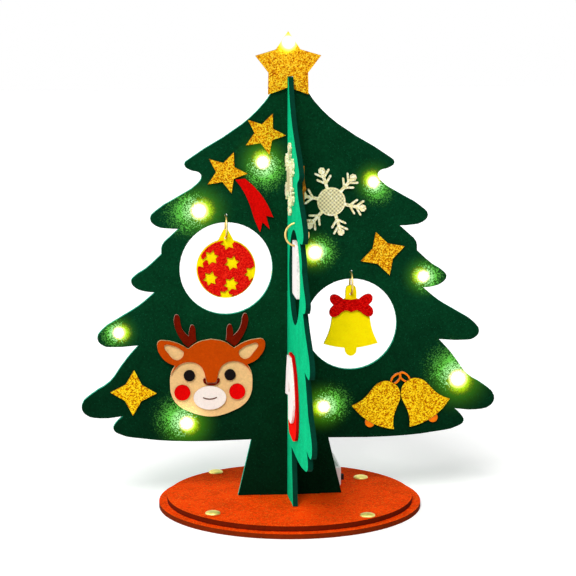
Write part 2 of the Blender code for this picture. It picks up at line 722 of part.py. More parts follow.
# Snowflakes
def barb(distance, side):
    """Corners of one side barb, which springs from the arm at this distance from the hub's middle."""
    angle = math.radians(FLAKE_BARB_ANGLE)
    along = Vector((math.cos(angle), side * math.sin(angle)))
    across = Vector((-along.y, along.x)) * side
    root = Vector((distance, side * FLAKE_ARM_HALF_WIDTH))
    half = FLAKE_BARB_HALF_WIDTH
    spread = half / math.sin(angle)
    tip = root + along * FLAKE_BARB_LENGTH
    return [
        root + Vector((-spread, 0)),
        tip + across * half,
        tip + along * half,
        tip - across * half,
        root + Vector((spread, 0)),
    ]


def flake_arm():
    """The corners of one arm along +X, from its lower side round its ball to its upper side."""
    reach = FLAKE_RADIUS - FLAKE_BALL_RADIUS
    start = math.asin(FLAKE_ARM_HALF_WIDTH / FLAKE_BALL_RADIUS)
    upper = []
    for share in FLAKE_BARB_SHARES:
        upper += barb(share * FLAKE_RADIUS, 1)
    ball = []
    for i in range(FLAKE_BALL_STEPS + 1):
        angle = -math.pi + start + (2 * math.pi - 2 * start) * i / FLAKE_BALL_STEPS
        x, y = FLAKE_BALL_RADIUS * math.cos(angle), FLAKE_BALL_RADIUS * math.sin(angle)
        ball.append(Vector((reach + x, y)))
    lower = [Vector((p.x, -p.y)) for p in upper]
    return [*lower, *ball, *reversed(upper)]


def flake_outline(turn):
    """Hub and arms as one loop, counted round from the first arm."""
    root_angle = math.asin(FLAKE_ARM_HALF_WIDTH / FLAKE_HUB_RADIUS)
    step = 2 * math.pi / FLAKE_ARMS
    corners = []
    for arm in range(FLAKE_ARMS):
        points = [(p.x, p.y, True) for p in flake_arm()]
        corners += turned(points, turn + math.degrees(arm * step))
        for part in range(FLAKE_HUB_STEPS + 1):
            angle = root_angle + (step - 2 * root_angle) * part / FLAKE_HUB_STEPS
            x, y = FLAKE_HUB_RADIUS * math.cos(angle), FLAKE_HUB_RADIUS * math.sin(angle)
            corners += turned([(x, y, True)], turn + math.degrees(arm * step))
    return corners


def snowflakes():
    main, cross = flake_outline(MAIN_FLAKE_TURN), flake_outline(CROSS_FLAKE_TURN)
    place = on_panel(MAIN_FLAKE_SHARES)
    sheet("snowflake_main", [main], FOAM, CREAM_GLITTER, "front", place, STICKER_DEPTH)
    reach = FLAKE_RADIUS * math.cos(math.pi / FLAKE_ARMS)
    place = (FELT / 2 + CROSS_FLAKE_FROM_MAIN + reach, TREE_FOOT + CROSS_FLAKE_RISE_SHARE * TREE_HEIGHT)
    sheet("snowflake_cross", [cross], FOAM, CREAM_GLITTER, "cross_left", place, STICKER_DEPTH)


# Pair of bells
def bell_place(shape, side):
    """Puts a turned bell's nearest point on the line where the two meet, half a gap away from it."""
    across, up = on_panel(PAIR_MIDDLE_SHARES)
    top = max(y for _, y, _ in shape)
    if side == "left":
        inner = max(x for x, _, _ in shape) + SEAT_GAP
    else:
        inner = min(x for x, _, _ in shape) - SEAT_GAP
    return across - inner, up - top - PAIR_DROPS[side]


def pair_loops(shapes):
    """Two thin oval loops, joined where they cross, that end on the tops of the bells."""
    across, up = on_panel(PAIR_MIDDLE_SHARES)
    inner_radii = [radius - LOOP_STROKE for radius in LOOP_RADII]
    loops = []
    for side, turn in LOOP_TURNS.items():
        x, y = LOOP_MIDDLE_SHARES[side]
        middle = (x * LOOP_RADII[0], y * LOOP_RADII[0])
        rings = [turned(ellipse(radii), turn, middle) for radii in (LOOP_RADII, inner_radii)]
        name = "pair_loops" if side == "left" else "other_loop"
        place = (across, up)
        loops.append(as_mesh(sheet(name, rings, FOAM, ORANGE_FOAM, "front", place, STICKER_DEPTH)))
    whole, other = loops
    as_cutter(other)
    boolean(whole, other, "UNION")
    for side, shape in shapes.items():
        place = bell_place(shape, side)
        thick = FOAM + CUT_OVERRUN
        cutter = sheet("bell_cut_" + side, [shape], thick, ORANGE_FOAM, "front", place, STICKER_DEPTH)
        cutter.data.offset = SEAT_GAP
        cutter = as_mesh(cutter)
        as_cutter(cutter)
        boolean(whole, cutter)


def bell_pair():
    shape = with_mirror(outline(PAIR_SHARES, PAIR_HALF_WIDTH, PAIR_HEIGHT))
    mouth_drop = -PAIR_SHARES[-1][-1][1] * PAIR_HEIGHT
    clapper = [(-PAIR_CLAPPER_RADIUS, 0, True)]
    for i in range(1, PAIR_CLAPPER_SIDES):
        angle = math.pi + math.pi * i / PAIR_CLAPPER_SIDES
        clapper.append((PAIR_CLAPPER_RADIUS * math.cos(angle), PAIR_CLAPPER_RADIUS * math.sin(angle), True))
    clapper.append((PAIR_CLAPPER_RADIUS, 0, True))
    hung = [(x, y - mouth_drop - SEAT_GAP, sharp) for x, y, sharp in clapper]
    shapes = {}
    for side, turn in PAIR_TURNS.items():
        bell = turned(shape, turn)
        place = bell_place(bell, side)
        sheet("pair_bell_" + side, [bell], FOAM, GOLD_GLITTER, "front", place, STICKER_DEPTH)
        sheet("pair_clapper_" + side, [turned(hung, turn)], FOAM, ORANGE_FOAM, "front", place, STICKER_DEPTH)
        shapes[side] = bell
    pair_loops(shapes)


# Deer head
def deer_spot(name, shares, radii, made_of):
    x, z = on_panel(DEER_SHARES)
    place = (x + DEER_SPOT_SHIFT + shares[0] * DEER_HALF_WIDTH, z + shares[1] * DEER_HEIGHT)
    sheet(name, [ellipse(radii)], OVERLAY, made_of, "front", place, SECOND_LAYER_DEPTH)


def deer_nose(place):
    """A crescent round the end of the bridge of the nose, which it clears."""
    bridge = outline(DEER_BROW_SHARES[-2:], DEER_HALF_WIDTH, DEER_HEIGHT)
    (high_x, high_y, _), (low_x, _, _), (_, floor, _) = bridge
    inner = [
        (0, floor - SEAT_GAP, True),
        (low_x + SEAT_GAP, floor - SEAT_GAP, True),
        (high_x + SEAT_GAP, high_y, True),
    ]
    shape = with_mirror([*inner, *outline(DEER_NOSE_SHARES, DEER_HALF_WIDTH, DEER_HEIGHT)])
    sheet("deer_nose", [shape], OVERLAY, DARK_BROWN_FELT, "front", place, SECOND_LAYER_DEPTH)


def deer():
    place = on_panel(DEER_SHARES)
    size = DEER_HALF_WIDTH, DEER_HEIGHT
    backing = with_mirror(outline(DEER_TOP_SHARES + DEER_CHEEK_SHARES, *size))
    sheet("deer_face", [backing], FOAM, CREAM_FELT, "front", place, STICKER_DEPTH)
    ear_hole = [(x * size[0], y * size[1], False) for x, y in DEER_EAR_HOLE_SHARES]
    other_ear = [(-x, y, sharp) for x, y, sharp in ear_hole]
    brow = with_mirror(outline(DEER_TOP_SHARES + DEER_BROW_SHARES, *size))
    sheet("deer_head", [brow, ear_hole, other_ear], OVERLAY, BROWN_FELT, "front", place, SECOND_LAYER_DEPTH)
    antler = outline(DEER_ANTLER_SHARES, *size)
    for name, side in (("left", -1), ("right", 1)):
        shape = [(side * x, y, sharp) for x, y, sharp in antler]
        sheet("deer_antler_" + name, [shape], FOAM, DARK_BROWN_FELT, "front", place, STICKER_DEPTH)
        eye = (side * DEER_EYE_SHARES[0], DEER_EYE_SHARES[1])
        deer_spot("deer_eye_" + name, eye, (DEER_EYE_RADIUS, DEER_EYE_RADIUS), BLACK_FOAM)
        cheek = (side * DEER_CHEEK_SPOT_SHARES[0], DEER_CHEEK_SPOT_SHARES[1])
        deer_spot("deer_cheek_" + name, cheek, (DEER_CHEEK_RADIUS, DEER_CHEEK_RADIUS), RED_FELT)
    deer_spot("deer_muzzle", (0, DEER_MUZZLE_HEIGHT_SHARE), DEER_MUZZLE_RADII, WHITE_FELT)
    deer_nose(place)


def stocking():
    place = on_panel(STOCKING_SHARES)
    size = STOCKING_HALF_WIDTH, STOCKING_HEIGHT
    sock = outline(STOCKING_OUTLINE_SHARES, *size)
    sheet("stocking_body", [sock], FOAM, RED_FELT, "cross_left", place, STICKER_DEPTH)
    cuff = outline(CUFF_OUTLINE_SHARES, *size)
    slit = [(x * size[0], y * size[1], True) for x, y in CUFF_SLIT_SHARES]
    sheet("stocking_cuff", [cuff, slit], OVERLAY, WHITE_FELT, "cross_left", place, SECOND_LAYER_DEPTH)


# Hanging ornaments
def hanging(name, panel, window):
    """A ring through the panel above a window. Gives its middle and the pivot that the ornament hangs on."""
    across, up = on_panel(WINDOW_SHARES[window])
    at = {"main": lambda z: (across, 0, z), "cross": lambda z: (0, across, z)}[panel]
    middle = at(up + RING_RISE)
    turn = {"main": (0, math.pi / 2, 0), "cross": (math.pi / 2, 0, 0)}[panel]
    bpy.ops.mesh.primitive_torus_add(
        major_radius=RING_RADIUS,
        minor_radius=RING_WIRE_RADIUS,
        major_segments=RING_SIDES,
        minor_segments=WIRE_SIDES,
        location=middle,
        rotation=turn,
    )
    ring = take("ring_" + name, GOLD_WIRE)
    ring.data.shade_smooth()
    hole = pivot("pivot_ring_" + name, at(up + RING_HOLE_RISE))
    carry(ring, hole)
    return (across, up + RING_RISE), pivot("pivot_" + name, middle, hole)


def hang_hole():
    return circle(RING_HOLE_RADIUS, (0, -RING_RADIUS), SMALL_HOLE_SIDES)


def hung_sheet(name, loops, thickness, made_of, facing, middle, depth, holder):
    carry(sheet(name, loops, thickness, made_of, facing, middle, depth), holder)


def bauble():
    middle, holder = hanging("bauble", "main", "left")
    cap_base = math.asin(BAUBLE_CAP_HALF_WIDTH / BAUBLE_RADIUS)
    rim = []
    for i in range(WINDOW_SIDES + 1):
        angle = math.pi / 2 - cap_base - (2 * math.pi - 2 * cap_base) * i / WINDOW_SIDES
        rim.append((BAUBLE_RADIUS * math.cos(angle), BAUBLE_RADIUS * math.sin(angle) - BAUBLE_DROP, True))
    shoulder = -BELL_TOP_DROP - BAUBLE_PEAK_RISE
    peak = [(-BAUBLE_PEAK_HALF_WIDTH, shoulder), (0, -BELL_TOP_DROP), (BAUBLE_PEAK_HALF_WIDTH, shoulder)]
    apart = ORNAMENT_FELT / 2 + SEAT_GAP + BAUBLE_FACE_FELT / 2
    back_depth = -BAUBLE_FACE_WEIGHT_SHARE * apart
    face_depth = back_depth + apart
    backing = [[*rim, *[(x, y, True) for x, y in peak]], hang_hole()]
    hung_sheet("bauble_back", backing, ORNAMENT_FELT, YELLOW_FELT, "front", middle, back_depth, holder)
    face_radius = BAUBLE_RADIUS - BAUBLE_BACKING_RIM

    def stars(places):
        size = (6, BAUBLE_STAR_RADIUS, STAR_OF_SIX_SHARE, BAUBLE_STAR_TURN)
        return [star(*size, (x * face_radius, y * face_radius - BAUBLE_DROP)) for x, y in places]

    loops = [circle(face_radius, (0, -BAUBLE_DROP), WINDOW_SIDES), *stars(BAUBLE_STAR_SHARES)]
    face = as_mesh(sheet("bauble_face", loops, BAUBLE_FACE_FELT, RED_GLITTER, "front", middle, face_depth))
    for i, shape in enumerate(stars(BAUBLE_EDGE_STAR_SHARES)):
        thick = BAUBLE_FACE_FELT + CUT_OVERRUN
        cutter = as_mesh(sheet(f"bauble_star_{i}", [shape], thick, RED_GLITTER, "front", middle, face_depth))
        as_cutter(cutter)
        carry(cutter, holder)
        boolean(face, cutter)
    carry(face, holder)


def bell():
    middle, holder = hanging("bell", "main", "right")
    half = outline(BELL_SHARES, BELL_HALF_WIDTH, BELL_HEIGHT)
    low = BELL_TOP_DROP + BELL_HEIGHT
    shape = with_mirror([(x, y - low, sharp) for x, y, sharp in half])
    apart = BELL_FELT / 2 + SEAT_GAP + OVERLAY / 2
    body_depth = -BOW_WEIGHT_SHARE * apart
    bow_depth = body_depth + apart
    hung_sheet("bell_body", [shape, hang_hole()], BELL_FELT, YELLOW_FELT, "front", middle, body_depth, holder)
    half = outline(BOW_SHARES, BOW_HALF_WIDTH, BOW_HEIGHT)
    bow = with_mirror([(x, y - BOW_DROP, sharp) for x, y, sharp in half])
    hung_sheet("bell_bow", [bow], OVERLAY, RED_GLITTER, "front", middle, bow_depth, holder)


def parcel():
    middle, holder = hanging("parcel", "cross", "left")
    top = PARCEL_ABOVE_HOLE - RING_RADIUS
    bottom = top - PARCEL_HEIGHT
    wide, cut = PARCEL_HALF_WIDTH, PARCEL_CORNER
    corners = [
        (wide - cut, top), (wide, top - cut), (wide, bottom + cut), (wide - cut, bottom),
        (cut - wide, bottom), (-wide, bottom + cut), (-wide, top - cut), (cut - wide, top),
    ]
    card = [[(x, y, True) for x, y in corners], hang_hole()]
    apart = PARCEL_FELT / 2 + SEAT_GAP + OVERLAY / 2
    card_depth = -RIBBON_WEIGHT_SHARE * apart
    wrap_depth = card_depth + apart
    hung_sheet("parcel_box", card, PARCEL_FELT, WHITE_FELT, "cross_right", middle, card_depth, holder)
    half = outline(WRAP_BOW_SHARES, WRAP_HALF_WIDTH, WRAP_HEIGHT)
    wrap = with_mirror([(x, y - WRAP_DROP, sharp) for x, y, sharp in half])
    long = WRAP_HALF_WIDTH - WRAP_BORDER
    high = WRAP_HEIGHT / 2 - WRAP_BORDER
    band = RIBBON_HALF_WIDTH
    quarter = [(long, band), (band, band), (band, high)]
    level = -WRAP_DROP - WRAP_HEIGHT / 2
    ribbon = [(x, y + level) for x, y in quarter]
    ribbon += [(-x, y + level) for x, y in reversed(quarter)]
    ribbon += [(-x, level - y) for x, y in quarter]
    ribbon += [(x, level - y) for x, y in reversed(quarter)]
    loops = [wrap, [(x, y, True) for x, y in ribbon]]
    hung_sheet("parcel_ribbon", loops, OVERLAY, RED_FELT, "cross_right", middle, wrap_depth, holder)


def pendant():
    middle, holder = hanging("pendant", "cross", "right")
    points = star(5, PENDANT_RADIUS, STAR_INNER_SHARE, 90, (0, -PENDANT_DROP))
    shoulder = PENDANT_RADIUS * STAR_INNER_SHARE - PENDANT_DROP
    tab_top = PENDANT_TAB_ABOVE_HOLE - RING_RADIUS
    wide = PENDANT_TAB_HALF_WIDTH
    tab = [(wide, shoulder), (wide, tab_top - wide / 2), (wide / 2, tab_top)]
    tab += [(-x, y) for x, y in reversed(tab)]
    loops = [[*[(x, y, True) for x, y in tab], *points[1:]], hang_hole()]
    hung_sheet("pendant_star", loops, PENDANT_FELT, YELLOW_FELT, "cross_right", middle, 0.0, holder)


# Light string
def route_points():
    """The route's own points with the number of the light at each, from the battery box to the last light."""
    left_edge = CASE_MIDDLE.x - CASE_WIDTH / 2
    front = CASE_MIDDLE.y - CASE_LENGTH / 2
    exit_height = CASE_FLOOR + WIRE_EXIT_RISE
    start_x, start_z = on_panel(ROUTE_RIGHT_SHARES[0][:2])
    start_x = max(start_x, left_edge + CASE_WALL)
    points = [
        (Vector((start_x, front + CASE_WALL, exit_height)), 0),
        (Vector((start_x, front - CASE_WALL, exit_height)), 0),
        (Vector((start_x, (front + WIRE_DEPTH) / 2, (exit_height + start_z) / 2 - CASE_WALL)), 0),
    ]
    for x, z, number in ROUTE_RIGHT_SHARES:
        across, up = on_panel((x, z))
        points.append((Vector((across, WIRE_DEPTH, up)), number))
    star_middle = TREE_TOP + TOPPER_RISE
    light_up = star_middle + TOPPER_LIGHT_SHARE * TOPPER_RADIUS
    behind_star = LIGHT_WIRE_RADIUS - FELT / 2
    over = TREE_TOP + ROUTE_OVER_TOP
    between = (over + light_up) / 2
    points += [
        (Vector((ROUTE_OVER_TOP_SIDE, WIRE_DEPTH, over)), 0),
        (Vector((TOPPER_SHIFT + ROUTE_IN_STAR_SIDE, behind_star, between)), 0),
        (Vector((TOPPER_SHIFT, behind_star, light_up)), 6),
        (Vector((TOPPER_SHIFT - ROUTE_IN_STAR_SIDE, behind_star, between)), 0),
        (Vector((-ROUTE_OVER_TOP_SIDE, WIRE_DEPTH, over)), 0),
    ]
    for x, z, number in ROUTE_LEFT_SHARES:
        across, up = on_panel((x, z))
        points.append((Vector((across, WIRE_DEPTH, up)), number))
    return points


def smooth_route(points):
    """A smooth curve through the points, read at even steps between them. Its depth never overshoots."""
    ends = [2 * points[0] - points[1], *points, 2 * points[-1] - points[-2]]
    route = [points[0]]
    for before, start, end, after in zip(ends, ends[1:], ends[2:], ends[3:]):
        for step in range(1, ROUTE_STEPS + 1):
            t = step / ROUTE_STEPS
            pull = (end - before) / 2
            push = (after - start) / 2
            rise = 3 * t * t - 2 * t * t * t
            place = start.lerp(end, rise) + pull * (t * (1 - t) ** 2) - push * (t * t * (1 - t))
            place.y = start.lerp(end, rise).y
            route.append(place)
    return route


def light_string():
    points = route_points()
    route = smooth_route([place for place, _ in points])
    data = bpy.data.curves.new("light_wire", "CURVE")
    data.dimensions = "3D"
    data.bevel_depth = LIGHT_WIRE_RADIUS
    data.bevel_resolution = 2
    data.use_fill_caps = True
    spline = data.splines.new("POLY")
    spline.points.add(len(route) - 1)
    for held, place in zip(spline.points, route):
        held.co = (*place, 1)
    keep(bpy.data.objects.new("light_wire", data), COPPER_WIRE)
    for place, number in points:
        if number:
            back = place.y - LIGHT_WIRE_RADIUS - SEAT_GAP
            bpy.ops.mesh.primitive_uv_sphere_add(
                segments=LIGHT_SIDES,
                ring_count=LIGHT_SIDES // 2,
                radius=1,
                location=(place.x, back - LIGHT_HALF_LENGTH, place.z),
                rotation=(math.pi / 2, 0, 0),
            )
            made = take(f"light_{number:02d}", LIGHT_RESIN)
            made.scale = (LIGHT_RADIUS, LIGHT_RADIUS, LIGHT_HALF_LENGTH)
            apply_scale(made)
            made.data.shade_smooth()


# Battery box
def case_box(name, low, high, made_of=None):
    """A box given from the middle of the case's underside."""
    base = CASE_MIDDLE + Vector((0, 0, CASE_FLOOR))
    made = box(name, base + Vector(low), base + Vector(high), made_of)
    apply_scale(made)
    return made


def battery_case():
    half_width, half_length = CASE_WIDTH / 2, CASE_LENGTH / 2
    inner_width, inner_length = half_width - CASE_WALL, half_length - CASE_WALL
    low, high = (-half_width, -half_length, 0), (half_width, half_length, CASE_HEIGHT)
    case = case_box("battery_case", low, high, WHITE_PLASTIC)
    edge = case.modifiers.new("edges", "BEVEL")
    edge.width = CASE_EDGE
    edge.segments = 2
    above = CASE_HEIGHT + CUT_OVERRUN
    bay = case_box("bay", (-inner_width, -inner_length, CASE_WALL), (inner_width, inner_length, above))
    past = half_length + CUT_OVERRUN
    channel = case_box("channel", (-inner_width, -inner_length, GROOVE_RISE), (inner_width, past, above))
    groove_half = inner_width + GROOVE_DEPTH
    groove_top = GROOVE_RISE + COVER_THICKNESS + 2 * SEAT_GAP
    groove = case_box("groove", (-groove_half, -inner_length, GROOVE_RISE), (groove_half, past, groove_top))
    slot_half = (SWITCH_KNOB + SWITCH_TRAVEL) / 2 + SEAT_GAP
    slot_middle = SWITCH_FROM_MIDDLE + SWITCH_TRAVEL / 2
    slot = case_box(
        "switch_slot",
        (inner_width - CUT_OVERRUN, slot_middle - slot_half, SWITCH_RISE - SWITCH_KNOB / 2 - SEAT_GAP),
        (half_width + CUT_OVERRUN, slot_middle + slot_half, SWITCH_RISE + SWITCH_KNOB / 2 + SEAT_GAP),
    )
    exit_x = route_points()[0][0].x
    bpy.ops.mesh.primitive_cylinder_add(
        vertices=SMALL_HOLE_SIDES,
        radius=LIGHT_WIRE_RADIUS + WIRE_EXIT_PLAY,
        depth=2 * CASE_WALL + CUT_OVERRUN,
        location=(exit_x, CASE_MIDDLE.y - half_length, CASE_FLOOR + WIRE_EXIT_RISE),
        rotation=(math.pi / 2, 0, 0),
    )
    wire_exit = take("wire_exit")
    for cutter in (bay, channel, groove, slot, wire_exit):
        boolean(case, cutter)


def battery_cover():
    inner_width = CASE_WIDTH / 2 - CASE_WALL
    half_width = inner_width + GROOVE_DEPTH - SEAT_GAP
    front = -CASE_LENGTH / 2 + CASE_WALL + SEAT_GAP
    back = CASE_LENGTH / 2
    low = GROOVE_RISE + SEAT_GAP
    high = low + COVER_THICKNESS
    cover = case_box("battery_cover", (-half_width, front, low), (half_width, back, high), WHITE_PLASTIC)
    for i in range(COVER_RIBS):
        y = back - COVER_RIBS_FROM_END - i * COVER_RIB_PITCH
        rib = case_box(
            f"cover_rib_{i}",
            (-COVER_RIB_LENGTH / 2, y - COVER_RIB_WIDTH / 2, (low + high) / 2),
            (COVER_RIB_LENGTH / 2, y + COVER_RIB_WIDTH / 2, high + COVER_RIB_RISE),
        )
        boolean(cover, rib, "UNION")


def battery_switch():
    inner_width = CASE_WIDTH / 2 - CASE_WALL
    plate_outside = inner_width - SEAT_GAP
    plate_inside = plate_outside - SWITCH_PLATE_THICKNESS
    y, z = SWITCH_FROM_MIDDLE, SWITCH_RISE
    plate = case_box(
        "battery_switch",
        (plate_inside, y - SWITCH_PLATE_LENGTH / 2, z - SWITCH_PLATE_HEIGHT / 2),
        (plate_outside, y + SWITCH_PLATE_LENGTH / 2, z + SWITCH_PLATE_HEIGHT / 2),
        BLACK_FOAM,
    )
    knob = case_box(
        "switch_knob",
        ((plate_inside + plate_outside) / 2, y - SWITCH_KNOB / 2, z - SWITCH_KNOB / 2),
        (CASE_WIDTH / 2 + SWITCH_KNOB_STANDOUT, y + SWITCH_KNOB / 2, z + SWITCH_KNOB / 2),
    )
    boolean(plate, knob, "UNION")


def coin_cells():
    bpy.ops.mesh.primitive_cylinder_add(
        vertices=CELL_SIDES,
        radius=CELL_RADIUS,
        depth=CELL_STACK_HEIGHT,
        location=CASE_MIDDLE
        + Vector((0, CELL_FROM_MIDDLE, CASE_FLOOR + CASE_WALL + SEAT_GAP + CELL_STACK_HEIGHT / 2)),
    )
    cells = take("coin_cells", CELL_STEEL)
    cells.data.shade_smooth()
    cells.data.set_sharp_from_angle(angle=math.pi / 4)


def main():
    clear_scene()
    base_discs()
    brads()
    tree_panels()
    topper_star()
    glitter_stars()
    comet_tail()
    snowflakes()
    bell_pair()
    deer()
    stocking()
    bauble()
    bell()
    parcel()
    pendant()
    light_string()
    battery_case()
    battery_cover()
    battery_switch()
    coin_cells()


main()
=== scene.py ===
"""Looks of the felt Christmas tree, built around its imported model: materials for every piece, the twisted
strands of the light string, split rings, a deer's smile, and the photograph's stage, lights and camera."""

import json
import math

import bpy
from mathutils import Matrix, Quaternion, Vector


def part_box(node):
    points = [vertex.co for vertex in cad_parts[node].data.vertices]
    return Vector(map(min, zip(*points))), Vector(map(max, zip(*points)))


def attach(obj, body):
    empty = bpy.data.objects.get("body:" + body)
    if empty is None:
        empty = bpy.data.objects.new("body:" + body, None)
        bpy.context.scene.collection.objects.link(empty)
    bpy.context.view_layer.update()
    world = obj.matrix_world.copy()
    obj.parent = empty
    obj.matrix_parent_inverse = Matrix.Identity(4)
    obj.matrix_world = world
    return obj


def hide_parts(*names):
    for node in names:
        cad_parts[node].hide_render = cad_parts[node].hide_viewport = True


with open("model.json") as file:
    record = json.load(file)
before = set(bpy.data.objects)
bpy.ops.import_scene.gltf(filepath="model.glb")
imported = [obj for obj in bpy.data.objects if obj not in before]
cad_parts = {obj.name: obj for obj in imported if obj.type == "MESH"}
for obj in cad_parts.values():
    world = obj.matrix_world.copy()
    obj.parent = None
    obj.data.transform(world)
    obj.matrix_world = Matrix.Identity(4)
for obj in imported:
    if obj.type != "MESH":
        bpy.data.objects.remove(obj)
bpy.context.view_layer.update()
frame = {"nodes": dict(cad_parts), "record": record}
NODES = frame["nodes"]

# Camera of the photograph: turn from the front, lift above level, distance from the aim, and framing
AIM = Vector((0, 0, 0.150))
CAMERA_TURN = math.radians(-6.287)
CAMERA_LIFT = math.radians(8.967)
CAMERA_DISTANCE = 1.391
CAMERA_LENS = 145.4
CAMERA_SHIFT = (-0.003, -0.0488)

# Lights
KEY_FROM = Vector((-0.24, -0.74, 0.66))
KEY_STRENGTH = 2.15
KEY_ANGLE = math.radians(22)
KEY_COLOUR = (1.0, 0.99, 0.97)
SIDE_FROM = Vector((-0.95, -0.14, 0.22))
SIDE_STRENGTH = 1.1
SIDE_ANGLE = math.radians(40)
SIDE_COLOUR = (1.0, 1.0, 1.0)
SKY_STRENGTH = 0.45

# Stage
FLOOR_SIZE = 6.0
FLOOR_COLOUR = (0.90, 0.90, 0.90)
FLOOR_LIFT = 0.34

# Tree, battery case and the wire's way over the top, as the model's source has them
HALF_WIDTH = 0.125
FOOT = 0.0066
HEIGHT = 0.2529
FELT_HALF = 0.0015
SEAT_GAP = 0.0003
CASE_WALL = 0.0016
WIRE_EXIT_RISE = 0.0055
ROUTE_OVER_TOP = 0.004
ROUTE_OVER_TOP_SIDE = 0.0046
ROUTE_IN_STAR_SIDE = 0.0030

# Light string: two strands twisted round the route
WIRE_RADIUS = 0.0005
STRAND_RADIUS = 0.00023
STRAND_OFFSET = 0.00024
STRAND_PITCH = 0.0030
STRAND_POINTS_PER_TURN = 7
STRAND_RESOLUTION = 1
ROUTE_STEPS = 6

# How far each part of a light's painted glow reaches over the felt
HEART_REACH = 0.0066
HALO_REACH = 0.0094
HALO_SHIFT = 0.0012
NEAR_REACH = 0.0200
POOL_REACH = 0.0170

# Painted shade: the dark green felt is painted darker from this height above its foot down to the trunk
SHADE_PAINT_REACH = 0.120

# Snowflakes' cloth: the reach of the hub, and the angle that the weave runs through in a metre
SNOW_HUB_REACH = 0.0078
WEAVE_RADIANS_PER_METRE = 2600

# Reliefs of the finishes: depth, and how strongly they shade
FELT_RELIEF = (0.0005, 0.5)
SNOW_RELIEF = (0.0002, 0.5)
FOAM_RELIEF = (0.0002, 0.35)
METAL_RELIEF = (0.00004, 0.35)
PLASTIC_RELIEF = (0.00003, 0.5)

# Deer's mouth: its line, and its size and place as shares of the muzzle's width and height
SMILE_RADIUS = 0.00036
SMILE_STANDOUT = 0.00005
SMILE_RESOLUTION = 2
SMILE_STEPS = 12
SMILE_HALF_WIDTH_SHARE = 0.21
SMILE_RISE_SHARE = 0.02
SMILE_SAG_SHARE = 0.07

# Split rings
RING_RADIUS = 0.0068
RING_WIRE = 0.0006
RING_SPLIT = math.radians(9)
RING_SPLIT_TURN = math.radians(20)
RING_STEPS = 40
RING_SPRING = 0.00035
RING_RESOLUTION = 3

# Noises: waves in a metre, detail, roughness and distortion
FELT_BLOTCHES = (70, 3.0, 0.5, 0.0)
FELT_MAT = (620, 5.0, 0.62, 0.9)
FELT_FIBRES = (2300, 4.0, 0.7, 2.2)
GLITTER_VEINS = (1755, 1.0, 0.5, 1.2)
GLITTER_PATCHES = (150, 2.0, 0.5, 0.0)
FOAM_TONES = (240, 3.0, 0.5, 0.0)
METAL_SCRATCHES = (3200, 3.0, 0.5, 0.0)
METAL_RUBS = (420, 3.0, 0.5, 0.0)
PLASTIC_GRAIN = (5200, 2.0, 0.5, 0.0)
PLASTIC_FLOW = (60, 2.0, 0.5, 1.5)

# Cells in a metre: grains, flecks and pores
FELT_FLECKS = 1900
LIT_GRAINS = 1750
GLITTER_GRAINS = 1350
SNOW_GRAINS = 1300
FOAM_PORES = 2400

# Sockets of the colour mix node, whose names repeat
MIX_SHARE, MIX_FIRST, MIX_SECOND = 0, 6, 7
MIX_RESULT = 2

# The axis that a sheet's face looks along when it faces the front
FRONT_AXIS = 1

WHITE = (1.0, 1.0, 1.0)
BLACK = (0.0, 0.0, 0.0)


class Graph:
    """A node graph. add() makes a node and links or sets its inputs."""

    def __init__(self, tree):
        self.tree = tree

    def set(self, node, inputs):
        for key, value in inputs.items():
            if isinstance(value, bpy.types.NodeSocket):
                self.tree.links.new(value, node.inputs[key])
            else:
                node.inputs[key].default_value = value
        return node

    def add(self, kind, inputs=None, **attributes):
        node = self.tree.nodes.new(kind)
        for key, value in attributes.items():
            setattr(node, key, value)
        return self.set(node, inputs or {})

    def math(self, operation, a, b=0.0, clamp=False):
        return self.add("ShaderNodeMath", {0: a, 1: b}, operation=operation, use_clamp=clamp).outputs[0]

    def seen(self):
        """1 for rays that show the surface straight, in a reflection or through a clear piece, else 0."""
        path = self.add("ShaderNodeLightPath").outputs
        passed_on = self.math("MAXIMUM", path["Is Glossy Ray"], path["Is Transmission Ray"])
        return self.math("MAXIMUM", path["Is Camera Ray"], passed_on)


